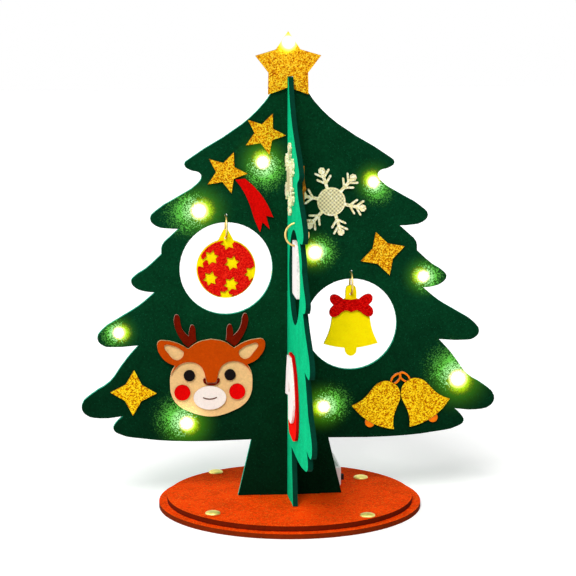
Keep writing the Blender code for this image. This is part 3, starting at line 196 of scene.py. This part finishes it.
class Look(Graph):
    """A material's node graph."""

    def __init__(self, name):
        self.material = bpy.data.materials.new(name)
        self.material.use_nodes = True
        super().__init__(self.material.node_tree)
        self.shader = self.tree.nodes["Principled BSDF"]
        self.place = self.add("ShaderNodeTexCoord").outputs["Object"]

    def surface(self, **inputs):
        self.set(self.shader, {key.replace("_", " "): value for key, value in inputs.items()})
        return self.material

    def vector(self, operation, a, b=(0, 0, 0)):
        return self.add("ShaderNodeVectorMath", {0: a, 1: b}, operation=operation).outputs

    def parts(self, vector):
        """A vector's outputs X, Y and Z."""
        return self.add("ShaderNodeSeparateXYZ", {0: vector}).outputs

    def noise(self, kind, finer=1.0, place=None):
        scale, detail, roughness, distortion = kind
        inputs = {
            "Vector": self.place if place is None else place,
            "Scale": scale * finer,
            "Detail": detail,
            "Roughness": roughness,
            "Distortion": distortion,
        }
        return self.add("ShaderNodeTexNoise", inputs).outputs["Fac"]

    def cells(self, scale):
        return self.add("ShaderNodeTexVoronoi", {"Vector": self.place, "Scale": scale}).outputs

    def cell_values(self, cells):
        """Three numbers from 0 to 1 that each cell has to itself."""
        return self.add("ShaderNodeSeparateColor", {0: cells["Color"]}).outputs

    def weighted(self, values, weights):
        """The sum of the values, each times its weight."""
        whole = None
        for value, weight in zip(values, weights):
            part = self.math("MULTIPLY", value, weight)
            whole = part if whole is None else self.math("ADD", whole, part)
        return whole

    def rising(self, value, low, rise):
        """low where the value is 0, and higher by the rise where it is 1."""
        return self.math("ADD", self.math("MULTIPLY", value, rise), low)

    def ramp(self, value, stops):
        node = self.add("ShaderNodeValToRGB", {"Fac": value})
        ramp = node.color_ramp
        while len(ramp.elements) < len(stops):
            ramp.elements.new(1.0)
        for element, (position, colour) in zip(ramp.elements, stops):
            element.position = position
            element.color = opaque(colour)
        return node.outputs["Color"]

    def mix(self, share, a, b, blend="MIX"):
        inputs = {MIX_SHARE: share, MIX_FIRST: opaque(a), MIX_SECOND: opaque(b)}
        return self.add("ShaderNodeMix", inputs, data_type="RGBA", blend_type=blend).outputs[MIX_RESULT]

    def bump(self, height, relief):
        distance, strength = relief
        inputs = {"Height": height, "Distance": distance, "Strength": strength}
        return self.add("ShaderNodeBump", inputs).outputs["Normal"]


def opaque(colour):
    """A colour with its alpha. A socket stays as it is."""
    return colour if isinstance(colour, bpy.types.NodeSocket) else (*colour, 1)


def grey(value):
    return (value, value, value)


def scaled(colour, factor):
    return tuple(channel * factor for channel in colour)


def mixed(a, b, share):
    return tuple(x + (y - x) * share for x, y in zip(a, b))


def tones(colour, shares):
    """Stops of a ramp through lighter and darker tones of one colour."""
    return [(place, scaled(colour, share)) for place, share in shares]


def corners(node):
    """The low and the high corner of the box round a node."""
    return [Vector(corner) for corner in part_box(node)]


def middle(node):
    low, high = corners(node)
    return (low + high) / 2


# How wide each light's heart and its pool of lit grains are, and which way the pool streams over the felt,
# as shares of the usual reaches
LIGHT_GLOWS = {
    "light_01": (0.90, 1.00, (0.42, 0.15)),
    "light_02": (1.25, 1.36, (-0.28, 0.44)),
    "light_03": (0.85, 0.85, (0.30, -0.05)),
    "light_04": (1.10, 0.86, (0.40, 0.08)),
    "light_05": (0.88, 0.85, (0.25, -0.42)),
    "light_06": (1.10, 0.55, (0.45, 0.05)),
    "light_07": (0.95, 1.10, (0.12, -0.42)),
    "light_08": (1.15, 1.22, (-0.50, -0.05)),
    "light_09": (0.85, 0.75, (-0.30, 0.0)),
    "light_10": (1.00, 1.20, (-0.40, 0.25)),
}
# How much the pool adds to a grain's own value, from which sum on a grain is lit, and how sharply
POOL_STRENGTH = 0.80
LIT_FROM = 1.06
LIT_RISE = 5.0
# By nearness to the bulb: the grains' brightness as a share of their tint, then their paleness
LIT_SHARES = ((0.0, 0.06), (0.33, 0.30), (0.55, 0.75))
PALE_SHARES = ((0.72, 0.35), (0.85, 0.75))
HAZE_POWER = 3.0
# A halo frays where its grains lie off this value
HALO_GRAIN_MIDDLE = 0.55
HALO_GRAIN_STRENGTH = 0.22
HALO_SHARES = ((0.10, 0.0), (0.30, 0.16), (0.48, 0.62), (0.62, 1.0))
HEART_STOPS = ((0.22, BLACK), (0.42, (0.75, 0.7, 0.3)), (0.55, grey(1.3)))


class Glow:
    """Painted light round the bulbs, given off by the surface: white hearts, halos beside them, and pools
    of lit grains.
    """

    def __init__(self, look, names, depth):
        self.look = look
        self.hearts, self.halos, self.nears, self.pools = [], [], [], []
        for name in names:
            heart_width, pool_width, (across, up) = LIGHT_GLOWS[name]
            place = middle(name)
            place.y = depth
            stream = Vector((across, 0, up))
            self.hearts.append(self.falloff(place, HEART_REACH * heart_width))
            away = stream.normalized() * HALO_SHIFT
            self.halos.append(self.falloff(place - away, HALO_REACH * heart_width))
            self.nears.append(self.falloff(place, NEAR_REACH * pool_width))
            reach = POOL_REACH * pool_width
            self.pools.append(self.falloff(place + stream * reach, reach))

    def falloff(self, place, reach):
        """1 at the place, 0 from its reach on."""
        away = self.look.vector("DISTANCE", self.look.place, tuple(place))[1]
        return self.look.math("SUBTRACT", 1.0, self.look.math("DIVIDE", away, reach), clamp=True)

    def strongest(self, shares):
        held = shares[0]
        for share in shares[1:]:
            held = self.look.math("MAXIMUM", held, share)
        return held

    def colour(self, tint, halo_tint, haze_tint, grain):
        """The painted light that the surface gives off. The lit grains thin out along the pool and pale
        towards the bulb.
        """
        look = self.look
        near = self.strongest(self.nears)
        pool = look.math("MULTIPLY", self.strongest(self.pools), POOL_STRENGTH)
        lit = look.math("SUBTRACT", look.math("ADD", grain, pool), LIT_FROM)
        lit = look.math("MULTIPLY", lit, LIT_RISE, clamp=True)
        pale = [(place, mixed(tint, WHITE, share)) for place, share in PALE_SHARES]
        whole = look.mix(lit, BLACK, look.ramp(near, tones(tint, LIT_SHARES) + pale))
        haze = look.mix(look.math("POWER", near, HAZE_POWER), BLACK, haze_tint)
        whole = look.vector("ADD", whole, haze)[0]
        uneven = look.math("SUBTRACT", grain, HALO_GRAIN_MIDDLE)
        uneven = look.math("MULTIPLY", uneven, HALO_GRAIN_STRENGTH)
        halo = look.math("ADD", self.strongest(self.halos), uneven, clamp=True)
        whole = look.vector("MAXIMUM", whole, look.ramp(halo, tones(halo_tint, HALO_SHARES)))[0]
        heart = look.ramp(self.strongest(self.hearts), HEART_STOPS)
        return look.vector("ADD", whole, heart)[0]


# Materials. axis is the way that a piece's sheet faces, so that its cut edge can be told apart.
# A side is a cut edge where its normal goes along that axis less than this.
EDGE_BELOW = 0.7


def cut_edge(look, axis):
    """0 on the sheet's faces, 1 on its cut edge."""
    along = look.parts(look.add("ShaderNodeTexCoord").outputs["Normal"])[axis]
    return look.math("LESS_THAN", look.math("ABSOLUTE", along), EDGE_BELOW)


# Share of the light that is left in the painted shade, by shares of the painted shade's reach above the
# foot
SHADE_PAINT_SHARES = ((0.0, 0.38), (0.45, 0.60), (1.0, 1.0))


def paint_shade_to_foot(look, body):
    """Painted shade: the same colour, darker towards the trunk's foot."""
    rise = look.math("SUBTRACT", look.parts(look.place)["Z"], FOOT)
    height = look.math("DIVIDE", rise, SHADE_PAINT_REACH, clamp=True)
    return look.mix(1.0, body, look.ramp(height, tones(WHITE, SHADE_PAINT_SHARES)), "MULTIPLY")


# Felt: what blotches, mat and fibres add to its tone, and mat and fibres to its relief
FELT_TONE_SHARES = (0.2, 0.45, 0.35)
FELT_RELIEF_SHARES = (0.7, 0.5)
# How much further its fibres go to the bright side of the colour than to the dark one
FELT_BRIGHTER = 1.3
# Tones of the cut edge's colour, which paints light and shade on the edge
FELT_EDGE_SHARES = ((0.38, 0.7), (0.60, 1.15))
# How far a fleck reaches from the middle of its cell, in cells
FLECK_REACH = 0.45
# What each lit grain's own value and the fibres add to how soon it lights up
FELT_LIT_SHARES = (0.70, 0.50)


def felt(
    name, axis, colour, edge, contrast, grain=1.0, fleck=0.0, fleck_colour=None, shaded=False, glow=None
):
    """Needle felt: matted fibres, soft blotches, a cut edge whose own tone paints light and shade on it,
    and optional flecks, painted shade towards the foot and painted glow.
    """
    look = Look(name)
    blotch = look.noise(FELT_BLOTCHES)
    mat = look.noise(FELT_MAT, grain)
    fibre = look.noise(FELT_FIBRES, grain)
    tone = look.weighted((blotch, mat, fibre), FELT_TONE_SHARES)
    fibres = tones(colour, ((0.36, 1 - contrast), (0.50, 1), (0.64, 1 + contrast * FELT_BRIGHTER)))
    body = look.ramp(tone, fibres)
    if fleck:
        cells = look.cells(FELT_FLECKS)
        chosen = look.math("GREATER_THAN", look.cell_values(cells)[0], 1 - fleck)
        small = look.math("LESS_THAN", cells["Distance"], FLECK_REACH)
        body = look.mix(look.math("MULTIPLY", chosen, small), body, fleck_colour)
    # Painted shade towards the trunk's foot
    if shaded:
        body = paint_shade_to_foot(look, body)
    # The cut edge in its own colour, which paints light and shade on it
    body = look.mix(cut_edge(look, axis), body, look.ramp(tone, tones(edge, FELT_EDGE_SHARES)))
    normal = look.bump(look.weighted((mat, fibre), FELT_RELIEF_SHARES), FELT_RELIEF)
    look.surface(Base_Color=body, Roughness=0.95, Normal=normal, Specular_IOR_Level=0.03)
    if glow:
        names, *tints = glow
        lights = Glow(look, names, -FELT_HALF)
        value = look.cell_values(look.cells(LIT_GRAINS))[1]
        grains = look.weighted((value, fibre), FELT_LIT_SHARES)
        look.surface(Emission_Color=lights.colour(*tints, grains), Emission_Strength=1.0)
    return look.material


# Glitter: what each grain's own value and the veins add to its tone, and how much the whole is darkened
GLITTER_TONE_SHARES = (0.5, 1.2)
GLITTER_TONE_FALL = 0.35
# Share of the colour in the stop between the dark tone and the full colour
GLITTER_MIDDLE_SHARE = 0.55
# Duller patches: how strongly they show, and their share of the colour
GLITTER_PATCH_STRENGTH = 0.3
GLITTER_PATCH_SHARE = 0.85
# How far the grains lean, the roughness of the smoothest, and how much rougher the roughest is
GLITTER_TILT = 0.6
GLITTER_ROUGHNESS = (0.35, 0.4)


def glitter(name, axis, colour, dark, bright, edge, dark_share=0.26, glow=None):
    """Glitter glued on foam: each grain has its own tone and tilt, with dark specks between some of them,
    and an optional painted glow of the bulbs.
    """
    look = Look(name)
    cells = look.cells(GLITTER_GRAINS)
    values = look.cell_values(cells)
    tone = look.weighted((values[0], look.noise(GLITTER_VEINS)), GLITTER_TONE_SHARES)
    tone = look.math("SUBTRACT", tone, GLITTER_TONE_FALL)
    between = mixed(dark, colour, GLITTER_MIDDLE_SHARE)
    body = look.ramp(tone, ((dark_share, dark), (0.45, between), (0.54, colour), (0.80, bright)))
    patch = look.math("MULTIPLY", look.noise(GLITTER_PATCHES), GLITTER_PATCH_STRENGTH)
    body = look.mix(patch, body, scaled(colour, GLITTER_PATCH_SHARE))
    body = look.mix(cut_edge(look, axis), body, edge)
    tilt = look.vector("SUBTRACT", cells["Color"], grey(0.5))[0]
    tilt = look.vector("MULTIPLY", tilt, grey(GLITTER_TILT))[0]
    facing = look.add("ShaderNodeNewGeometry").outputs["Normal"]
    normal = look.vector("NORMALIZE", look.vector("ADD", facing, tilt)[0])[0]
    rough = look.rising(values[1], *GLITTER_ROUGHNESS)
    look.surface(Base_Color=body, Roughness=rough, Normal=normal, Specular_IOR_Level=0.02)
    if glow:
        names, *tints = glow
        lights = Glow(look, names, middle(names[0]).y)
        look.surface(Emission_Color=lights.colour(*tints, values[2]), Emission_Strength=1.0)
    return look.material


# Snowflakes: tones of the arms and of the hub's cloth
SNOW_ARM_SHARES = ((0.08, 0.70), (0.35, 1))
SNOW_CLOTH_SHARES = ((0.15, 0.50), (0.75, 1.18))
# The value from which a grain gets a painted glint, and the colour of its painted glint
SNOW_ARM_GLINT = (0.9, (1.0, 0.97, 0.80))
SNOW_CLOTH_GLINT = (0.95, (0.90, 0.86, 0.66))


def snow(name, axis, colour, hub_colour):
    """A glittered snowflake: arms that sparkle with painted glints, and a hub that shows the weave of its
    cloth, with painted glints of its own.
    """
    look = Look(name)
    centre = tuple(middle("snowflake_main" if axis == FRONT_AXIS else "snowflake_cross"))
    hub = look.math("LESS_THAN", look.vector("DISTANCE", look.place, centre)[1], SNOW_HUB_REACH)
    apart = look.parts(look.vector("SUBTRACT", look.place, centre)[0])
    threads = []
    for side in (0, 1, 2):
        if side != axis:
            threads.append(look.math("SINE", look.math("MULTIPLY", apart[side], WEAVE_RADIANS_PER_METRE)))
    weave = look.math("ADD", look.math("MULTIPLY", *threads), 1.0)
    weave = look.math("MULTIPLY", weave, 0.5)
    value = look.cell_values(look.cells(SNOW_GRAINS))[0]
    arms = look.ramp(value, tones(colour, SNOW_ARM_SHARES) + [SNOW_ARM_GLINT])
    cloth = look.ramp(weave, tones(hub_colour, SNOW_CLOTH_SHARES))
    glint_from, glint = SNOW_CLOTH_GLINT
    cloth = look.mix(look.math("GREATER_THAN", value, glint_from), cloth, glint)
    body = look.mix(hub, arms, cloth)
    height = look.math("MULTIPLY", look.math("ADD", weave, value), 0.5)
    normal = look.bump(height, SNOW_RELIEF)
    return look.surface(Base_Color=body, Roughness=0.6, Normal=normal, Specular_IOR_Level=0.15)


# Foam
FOAM_SHARES = ((0.35, 0.86), (0.70, 1.08))
FOAM_EDGE = (0.9, 0.85, 0.8)


def foam(name, axis, colour, edge_share=0.15):
    """Cut craft foam: fine closed cells, a faint tone, and a slightly paler cut edge."""
    look = Look(name)
    body = look.ramp(look.noise(FOAM_TONES), tones(colour, FOAM_SHARES))
    body = look.mix(look.math("MULTIPLY", cut_edge(look, axis), edge_share), body, FOAM_EDGE)
    normal = look.bump(look.cells(FOAM_PORES)["Distance"], FOAM_RELIEF)
    return look.surface(Base_Color=body, Roughness=0.6, Normal=normal, Specular_IOR_Level=0.04)


# Metal: its tones, how much closer its level scratches lie upwards, and how much rougher a rubbed patch is
METAL_SHARES = ((0.35, 0.74), (0.62, 1))
METAL_STRETCH = (1.0, 1.0, 9.0)
METAL_RUB_ROUGHNESS = 0.14


def metal(name, axis, colour, roughness=0.30):
    """Polished metal with rubbed patches and fine scratches."""
    look = Look(name)
    stretch = look.vector("MULTIPLY", look.place, METAL_STRETCH)[0]
    rub = look.noise(METAL_RUBS)
    body = look.ramp(rub, tones(colour, METAL_SHARES))
    rough = look.rising(rub, roughness, METAL_RUB_ROUGHNESS)
    normal = look.bump(look.noise(METAL_SCRATCHES, place=stretch), METAL_RELIEF)
    return look.surface(Base_Color=body, Metallic=1.0, Roughness=rough, Normal=normal)


# Plastic
PLASTIC_SHARES = ((0.30, 0.94), (0.75, 1))


def plastic(name, axis, colour):
    """Moulded plastic: a fine spark-eroded grain and a faint flow mark."""
    look = Look(name)
    body = look.ramp(look.noise(PLASTIC_FLOW), tones(colour, PLASTIC_SHARES))
    normal = look.bump(look.noise(PLASTIC_GRAIN), PLASTIC_RELIEF)
    return look.surface(Base_Color=body, Roughness=0.34, Normal=normal)


# Lights: the resin's colour, and what it gives off from the middle to the rim
RESIN = (1.0, 0.95, 0.75)
RESIN_HEAT = ((0.0, (1.0, 1.0, 0.95)), (1.0, (1.0, 0.96, 0.70)))


def bulb(name, axis):
    """A lit bead of clear resin, warm at its rim."""
    look = Look(name)
    rim = look.add("ShaderNodeLayerWeight", {"Blend": 0.35}).outputs["Facing"]
    look.surface(Emission_Color=look.ramp(rim, RESIN_HEAT), Emission_Strength=3.0)
    return look.surface(Base_Color=opaque(RESIN), Roughness=0.08)


# Colours, linear
GREEN = (0.0011, 0.034, 0.0112)
# Painted side light: the cross panel is the main panel's green felt, written far brighter for the light
# from the left on it, which the side lamp gives only in part
SIDE_LIT_GREEN = (0.002, 0.56, 0.240)
# Painted light on cut edges: shade in dark teal on the cross panel's, a highlight in bright teal on the
# main panel's
PAINTED_SHADE_TEAL = (0.001, 0.040, 0.022)
PAINTED_HIGHLIGHT_TEAL = (0.020, 0.45, 0.28)
RUST = (0.94, 0.060, 0.0004)
YELLOW = (1.0, 0.78, 0.001)
GOLD = {
    "colour": (0.98, 0.45, 0.002), "dark": (0.26, 0.014, 0.0), "bright": (1.0, 0.80, 0.05),
    "edge": (0.40, 0.15, 0.01),
}
YELLOW_GOLD = {
    **GOLD, "colour": (1.0, 0.58, 0.001), "dark": (0.30, 0.012, 0.0), "bright": (1.0, 0.82, 0.025),
    "dark_share": 0.30,
}
BASE_FELT = {
    "colour": RUST, "contrast": 0.42, "grain": 0.9, "fleck": 0.12, "fleck_colour": (1.0, 0.29, 0.03),
}
ALL_LIGHTS = list(LIGHT_GLOWS)
# Painted glow: the lights whose light is painted on a surface, and the colours of its lit grains, of the
# halos and of the haze
GREEN_GLOW = (ALL_LIGHTS, (0.18, 0.76, 0.09), (0.60, 0.98, 0.0), (0.15, 0.60, 0.0))
FACE_GLOW = (["light_10"], (0.55, 0.50, 0.06), (0.9, 0.9, 0.12), (1.2, 1.25, 0.45))
STAR_GLOW = (["light_06"], (0.9, 0.6, 0.02), (1.0, 0.95, 0.02), (0.5, 0.4, 0.0))
# A felt's edge colour paints light and shade on its cut edges: darker than the felt where shade is painted,
# paler where a highlight is
FINISHES = {
    # Main panel: cut edges painted bright for a highlight, painted shade towards the foot, and the painted
    # glow of all the bulbs
    "green_felt": (
        felt,
        {"colour": GREEN, "edge": PAINTED_HIGHLIGHT_TEAL, "contrast": 0.45, "fleck": 0.04,
         "fleck_colour": (0.005, 0.08, 0.035), "shaded": True, "glow": GREEN_GLOW},
    ),
    # The cross panel's felt, painted bright for the light from the left
    "emerald_felt": (felt, {"colour": SIDE_LIT_GREEN, "edge": PAINTED_SHADE_TEAL, "contrast": 0.3}),
    # The discs' rims are painted darker for the shade on them, the upper disc's darkest
    "base_felt": (felt, {**BASE_FELT, "edge": (0.18, 0.018, 0.002)}),
    "upper_disc_felt": (felt, {**BASE_FELT, "edge": (0.13, 0.010, 0.001)}),
    "gold_glitter": (glitter, GOLD),
    "yellow_gold_glitter": (glitter, YELLOW_GOLD),
    # The topper gives off the painted glow of light_06
    "topper_glitter": (glitter, {**GOLD, "glow": STAR_GLOW}),
    "cream_glitter": (snow, {"colour": (0.96, 0.84, 0.42), "hub_colour": (0.74, 0.66, 0.38)}),
    "red_glitter": (
        glitter,
        {"colour": (0.76, 0.005, 0.002), "dark": (0.42, 0.001, 0.001), "bright": (0.98, 0.03, 0.012),
         "edge": (0.30, 0.002, 0.001)},
    ),
    "bow_glitter": (
        glitter,
        {"colour": (0.64, 0.0005, 0.0002), "dark": (0.32, 0.0, 0.0), "bright": (0.80, 0.008, 0.004),
         "edge": (0.30, 0.002, 0.001)},
    ),
    "red_felt": (felt, {"colour": (0.68, 0.001, 0.001), "edge": (0.34, 0.001, 0.001), "contrast": 0.2}),
    "tail_felt": (felt, {"colour": (0.62, 0.002, 0.001), "edge": (0.28, 0.002, 0.001), "contrast": 0.3}),
    "sock_felt": (felt, {"colour": (0.94, 0.006, 0.003), "edge": (0.50, 0.002, 0.001), "contrast": 0.15}),
    "yellow_felt": (felt, {"colour": YELLOW, "edge": (0.72, 0.52, 0.001), "contrast": 0.08}),
    "white_felt": (felt, {"colour": (0.97, 0.96, 0.95), "edge": (0.92, 0.89, 0.84), "contrast": 0.03}),
    "muzzle_felt": (felt, {"colour": (0.86, 0.76, 0.72), "edge": (0.80, 0.70, 0.64), "contrast": 0.08}),
    # The face's cut edge is painted a little paler for a highlight, and the face gives off the painted glow
    # of light_10
    "cream_felt": (
        felt,
        {"colour": (0.80, 0.50, 0.22), "edge": (0.80, 0.55, 0.28), "contrast": 0.15, "glow": FACE_GLOW},
    ),
    "brown_felt": (felt, {"colour": (0.48, 0.052, 0.0005), "edge": (0.50, 0.08, 0.01), "contrast": 0.15}),
    # The antlers' cut edges are painted pale pink for a highlight
    "dark_brown_felt": (
        felt, {"colour": (0.13, 0.005, 0.0002), "edge": (0.62, 0.36, 0.28), "contrast": 0.3},
    ),
    "brown_thread": (felt, {"colour": (0.12, 0.03, 0.01), "edge": (0.12, 0.03, 0.01), "contrast": 0.2}),
    "orange_foam": (foam, {"colour": (0.90, 0.19, 0.003)}),
    "black_foam": (foam, {"colour": (0.006, 0.004, 0.004), "edge_share": 0.01}),
    "brass": (metal, {"colour": (1.0, 0.90, 0.27), "roughness": 0.45}),
    "gold_wire": (metal, {"colour": (0.96, 0.66, 0.22)}),
    "copper_wire": (metal, {"colour": (0.80, 0.62, 0.46)}),
    "light_resin": (bulb, {}),
    "white_plastic": (plastic, {"colour": (0.86, 0.86, 0.85)}),
    "cell_steel": (metal, {"colour": (0.72, 0.72, 0.73)}),
}
# Pieces whose finish differs from their slot's: the felts and glitters are of several tones, the cross
# panel's felt is a painted side-lit copy of the green felt, and the upper disc's a copy with a darker
# painted rim
OWN_FINISHES = {
    "base_upper_disc": "upper_disc_felt",
    "cross_panel": "emerald_felt",
    "topper_star": "topper_glitter",
    "bell_bow": "bow_glitter",
    "comet_tail": "tail_felt",
    "stocking_body": "sock_felt",
    "deer_muzzle": "muzzle_felt",
    "deer_smile": "brown_thread",
    "sparkle_left": "yellow_gold_glitter",
    "pair_bell_left": "yellow_gold_glitter",
    "pair_bell_right": "yellow_gold_glitter",
}
made_materials = {}


def finish(slot, axis):
    """The material of a slot for sheets that face along this axis, made once."""
    if (slot, axis) not in made_materials:
        maker, settings = FINISHES[slot]
        made_materials[slot, axis] = maker(f"{slot}_{'xyz'[axis]}", axis, **settings)
    return made_materials[slot, axis]


def dress_nodes():
    """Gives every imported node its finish. The thinnest side of a node tells how its sheet faces."""
    for subpart in frame["record"]["subparts"]:
        name = subpart["node"]
        slot = OWN_FINISHES.get(name, subpart["material_slot"])
        low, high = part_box(name)
        sides = [b - a for a, b in zip(low, high)]
        node = NODES[name]
        node.data.materials.clear()
        node.data.materials.append(finish(slot, sides.index(min(sides))))


# Pieces
def place_piece(name, data, slot, body, replaced=None):
    piece = bpy.data.objects.new(name, data)
    bpy.context.scene.collection.objects.link(piece)
    data.materials.append(finish(OWN_FINISHES.get(name, slot), FRONT_AXIS))
    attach(piece, body)
    if replaced:
        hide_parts(replaced)


def tube(name, points, radius, resolution):
    data = bpy.data.curves.new(name, "CURVE")
    data.dimensions = "3D"
    data.bevel_depth = radius
    data.bevel_resolution = resolution
    data.use_fill_caps = True
    spline = data.splines.new("POLY")
    spline.points.add(len(points) - 1)
    for held, place in zip(spline.points, points):
        held.co = (*place, 1)
    return data


def split_rings():
    """Each ring is a wire bent round, its ends left a little apart and sprung sideways, with the split at
    one side.
    """
    for hanger in ("bauble", "bell", "parcel", "pendant"):
        node = "ring_" + hanger
        low, high = corners(node)
        across, out = Vector((1, 0, 0)), Vector((0, 1, 0))
        if high.y - low.y > high.x - low.x:
            across, out = out, across
        points = []
        for i in range(RING_STEPS + 1):
            share = i / RING_STEPS
            angle = RING_SPLIT_TURN + RING_SPLIT + (2 * math.pi - 2 * RING_SPLIT) * share
            flat = across * math.cos(angle) + Vector((0, 0, math.sin(angle)))
            spring = out * RING_SPRING * (2 * share - 1) ** 3
            points.append(middle(node) + flat * RING_RADIUS + spring)
        name = "wire_" + node
        place_piece(name, tube(name, points, RING_WIRE, RING_RESOLUTION), "gold_wire", node, node)


def smile():
    """The deer's mouth: a thin line sewn on the muzzle."""
    low, high = corners("deer_muzzle")
    centre = middle("deer_muzzle")
    width, height = high.x - low.x, high.z - low.z
    points = []
    for i in range(SMILE_STEPS + 1):
        share = 2 * i / SMILE_STEPS - 1
        x = centre.x + SMILE_HALF_WIDTH_SHARE * width * share
        z = centre.z + SMILE_RISE_SHARE * height + SMILE_SAG_SHARE * height * (share * share - 1)
        points.append(Vector((x, low.y - SMILE_STANDOUT, z)))
    data = tube("deer_smile", points, SMILE_RADIUS, SMILE_RESOLUTION)
    place_piece("deer_smile", data, "dark_brown_felt", "tree")


# The light string's route, as shares of half width and height
ROUTE_RIGHT_SHARES = (
    (0.150, 0.070), (0.148, 0.140), (0.163, 0.2115), (0.380, 0.222), (0.620, 0.250), (0.821, 0.2725),
    (0.748, 0.325), (0.672, 0.382), (0.622, 0.440), (0.600, 0.492), (0.645, 0.523), (0.480, 0.565),
    (0.300, 0.580), (0.120, 0.5845), (0.240, 0.668), (0.400, 0.751), (0.288, 0.806), (0.176, 0.868),
    (0.096, 0.925), (0.046, 0.975),
)
ROUTE_LEFT_SHARES = (
    (-0.046, 0.975), (-0.090, 0.915), (-0.130, 0.860), (-0.130, 0.801), (-0.260, 0.755), (-0.433, 0.688),
    (-0.500, 0.640), (-0.562, 0.585), (-0.594, 0.530), (-0.608, 0.485), (-0.690, 0.430), (-0.820, 0.401),
    (-0.735, 0.388), (-0.678, 0.345), (-0.640, 0.272), (-0.575, 0.212), (-0.499, 0.179),
)
WIRE_DEPTH = FELT_HALF + SEAT_GAP + WIRE_RADIUS


def on_back(shares):
    return Vector((shares[0] * HALF_WIDTH, WIRE_DEPTH, FOOT + shares[1] * HEIGHT))


def string_route():
    """The route from inside the battery case, up the back, over the top and down again."""
    low = corners("battery_case")[0]
    start = on_back(ROUTE_RIGHT_SHARES[0])
    exit_height = low.z + WIRE_EXIT_RISE
    points = [
        Vector((start.x, low.y + CASE_WALL, exit_height)),
        Vector((start.x, low.y - CASE_WALL, exit_height)),
        Vector((start.x, (low.y + WIRE_DEPTH) / 2, (exit_height + start.z) / 2 - CASE_WALL)),
    ]
    points += [on_back(shares) for shares in ROUTE_RIGHT_SHARES]
    light = middle("light_06")
    behind_star = WIRE_RADIUS - FELT_HALF
    over = FOOT + HEIGHT + ROUTE_OVER_TOP
    between = (over + light.z) / 2
    points += [
        Vector((ROUTE_OVER_TOP_SIDE, WIRE_DEPTH, over)),
        Vector((light.x + ROUTE_IN_STAR_SIDE, behind_star, between)),
        Vector((light.x, behind_star, light.z)),
        Vector((light.x - ROUTE_IN_STAR_SIDE, behind_star, between)),
        Vector((-ROUTE_OVER_TOP_SIDE, WIRE_DEPTH, over)),
    ]
    points += [on_back(shares) for shares in ROUTE_LEFT_SHARES]
    return points


def smooth(points):
    """A curve through the points. Its depth eases from each point to the next, so it stays off the felt."""
    ends = [2 * points[0] - points[1], *points, 2 * points[-1] - points[-2]]
    route = [points[0]]
    for before, start, end, after in zip(ends, ends[1:], ends[2:], ends[3:]):
        for step in range(1, ROUTE_STEPS + 1):
            t = step / ROUTE_STEPS
            rise = 3 * t * t - 2 * t * t * t
            pull, push = (end - before) / 2, (after - start) / 2
            place = start.lerp(end, rise) + pull * (t * (1 - t) ** 2) - push * (t * t * (1 - t))
            place.y = start.lerp(end, rise).y
            route.append(place)
    return route


def even(points, spacing):
    """The same line read at even distances."""
    read, left = [points[0]], spacing
    for start, end in zip(points, points[1:]):
        length = (end - start).length
        along = left
        while along < length:
            read.append(start.lerp(end, along / length))
            along += spacing
        left = along - length
    return read


def light_string():
    """Two lacquered strands twisted round each other along the whole route."""
    route = even(smooth(string_route()), STRAND_PITCH / STRAND_POINTS_PER_TURN)
    side = Vector((1, 0, 0))
    strands = ([], [])
    for i, place in enumerate(route):
        ahead = route[min(i + 1, len(route) - 1)] - route[max(i - 1, 0)]
        ahead.normalize()
        side = (side - ahead * side.dot(ahead)).normalized()
        turned = Quaternion(ahead, 2 * math.pi * i / STRAND_POINTS_PER_TURN) @ side
        strands[0].append(place + turned * STRAND_OFFSET)
        strands[1].append(place - turned * STRAND_OFFSET)
    for number, points in enumerate(strands, 1):
        name = f"light_strand_{number}"
        data = tube(name, points, STRAND_RADIUS, STRAND_RESOLUTION)
        place_piece(name, data, "copper_wire", "tree", "light_wire")


# Stage
def floor():
    bpy.ops.mesh.primitive_plane_add(size=FLOOR_SIZE)
    plane = bpy.context.object
    plane.name = "floor"
    look = Look("floor")
    lift = look.math("MULTIPLY", look.seen(), FLOOR_LIFT)
    look.surface(Base_Color=opaque(FLOOR_COLOUR), Roughness=0.9, Specular_IOR_Level=0.0)
    look.surface(Emission_Color=opaque(WHITE), Emission_Strength=lift)
    plane.data.materials.append(look.material)


def sky():
    world = bpy.data.worlds.new("sky")
    world.use_nodes = True
    bpy.context.scene.world = world
    graph = Graph(world.node_tree)
    reach = {"Value": graph.seen(), "To Min": SKY_STRENGTH, "To Max": 1.0}
    strength = graph.add("ShaderNodeMapRange", reach).outputs[0]
    graph.set(graph.tree.nodes["Background"], {"Color": opaque(WHITE), "Strength": strength})


def sun(name, towards, strength, angle, colour):
    data = bpy.data.lights.new(name, "SUN")
    data.energy = strength
    data.angle = angle
    data.color = colour
    light = bpy.data.objects.new(name, data)
    light.rotation_euler = towards.to_track_quat("Z", "Y").to_euler()
    bpy.context.scene.collection.objects.link(light)


def lights():
    """The main light from the front, and a soft one from the left that reaches the cross panel's face."""
    sun("key", KEY_FROM, KEY_STRENGTH, KEY_ANGLE, KEY_COLOUR)
    sun("side", SIDE_FROM, SIDE_STRENGTH, SIDE_ANGLE, SIDE_COLOUR)


def camera():
    data = bpy.data.cameras.new("camera")
    data.lens = CAMERA_LENS
    data.shift_x, data.shift_y = CAMERA_SHIFT
    view = bpy.data.objects.new("camera", data)
    level = math.cos(CAMERA_LIFT)
    towards = Vector((level * math.sin(CAMERA_TURN), -level * math.cos(CAMERA_TURN), math.sin(CAMERA_LIFT)))
    view.location = AIM + towards * CAMERA_DISTANCE
    view.rotation_euler = towards.to_track_quat("Z", "Y").to_euler()
    bpy.context.scene.collection.objects.link(view)
    bpy.context.scene.camera = view


camera()
dress_nodes()
split_rings()
smile()
light_string()
floor()
sky()
lights()
bpy.context.scene.view_settings.view_transform = "Standard"
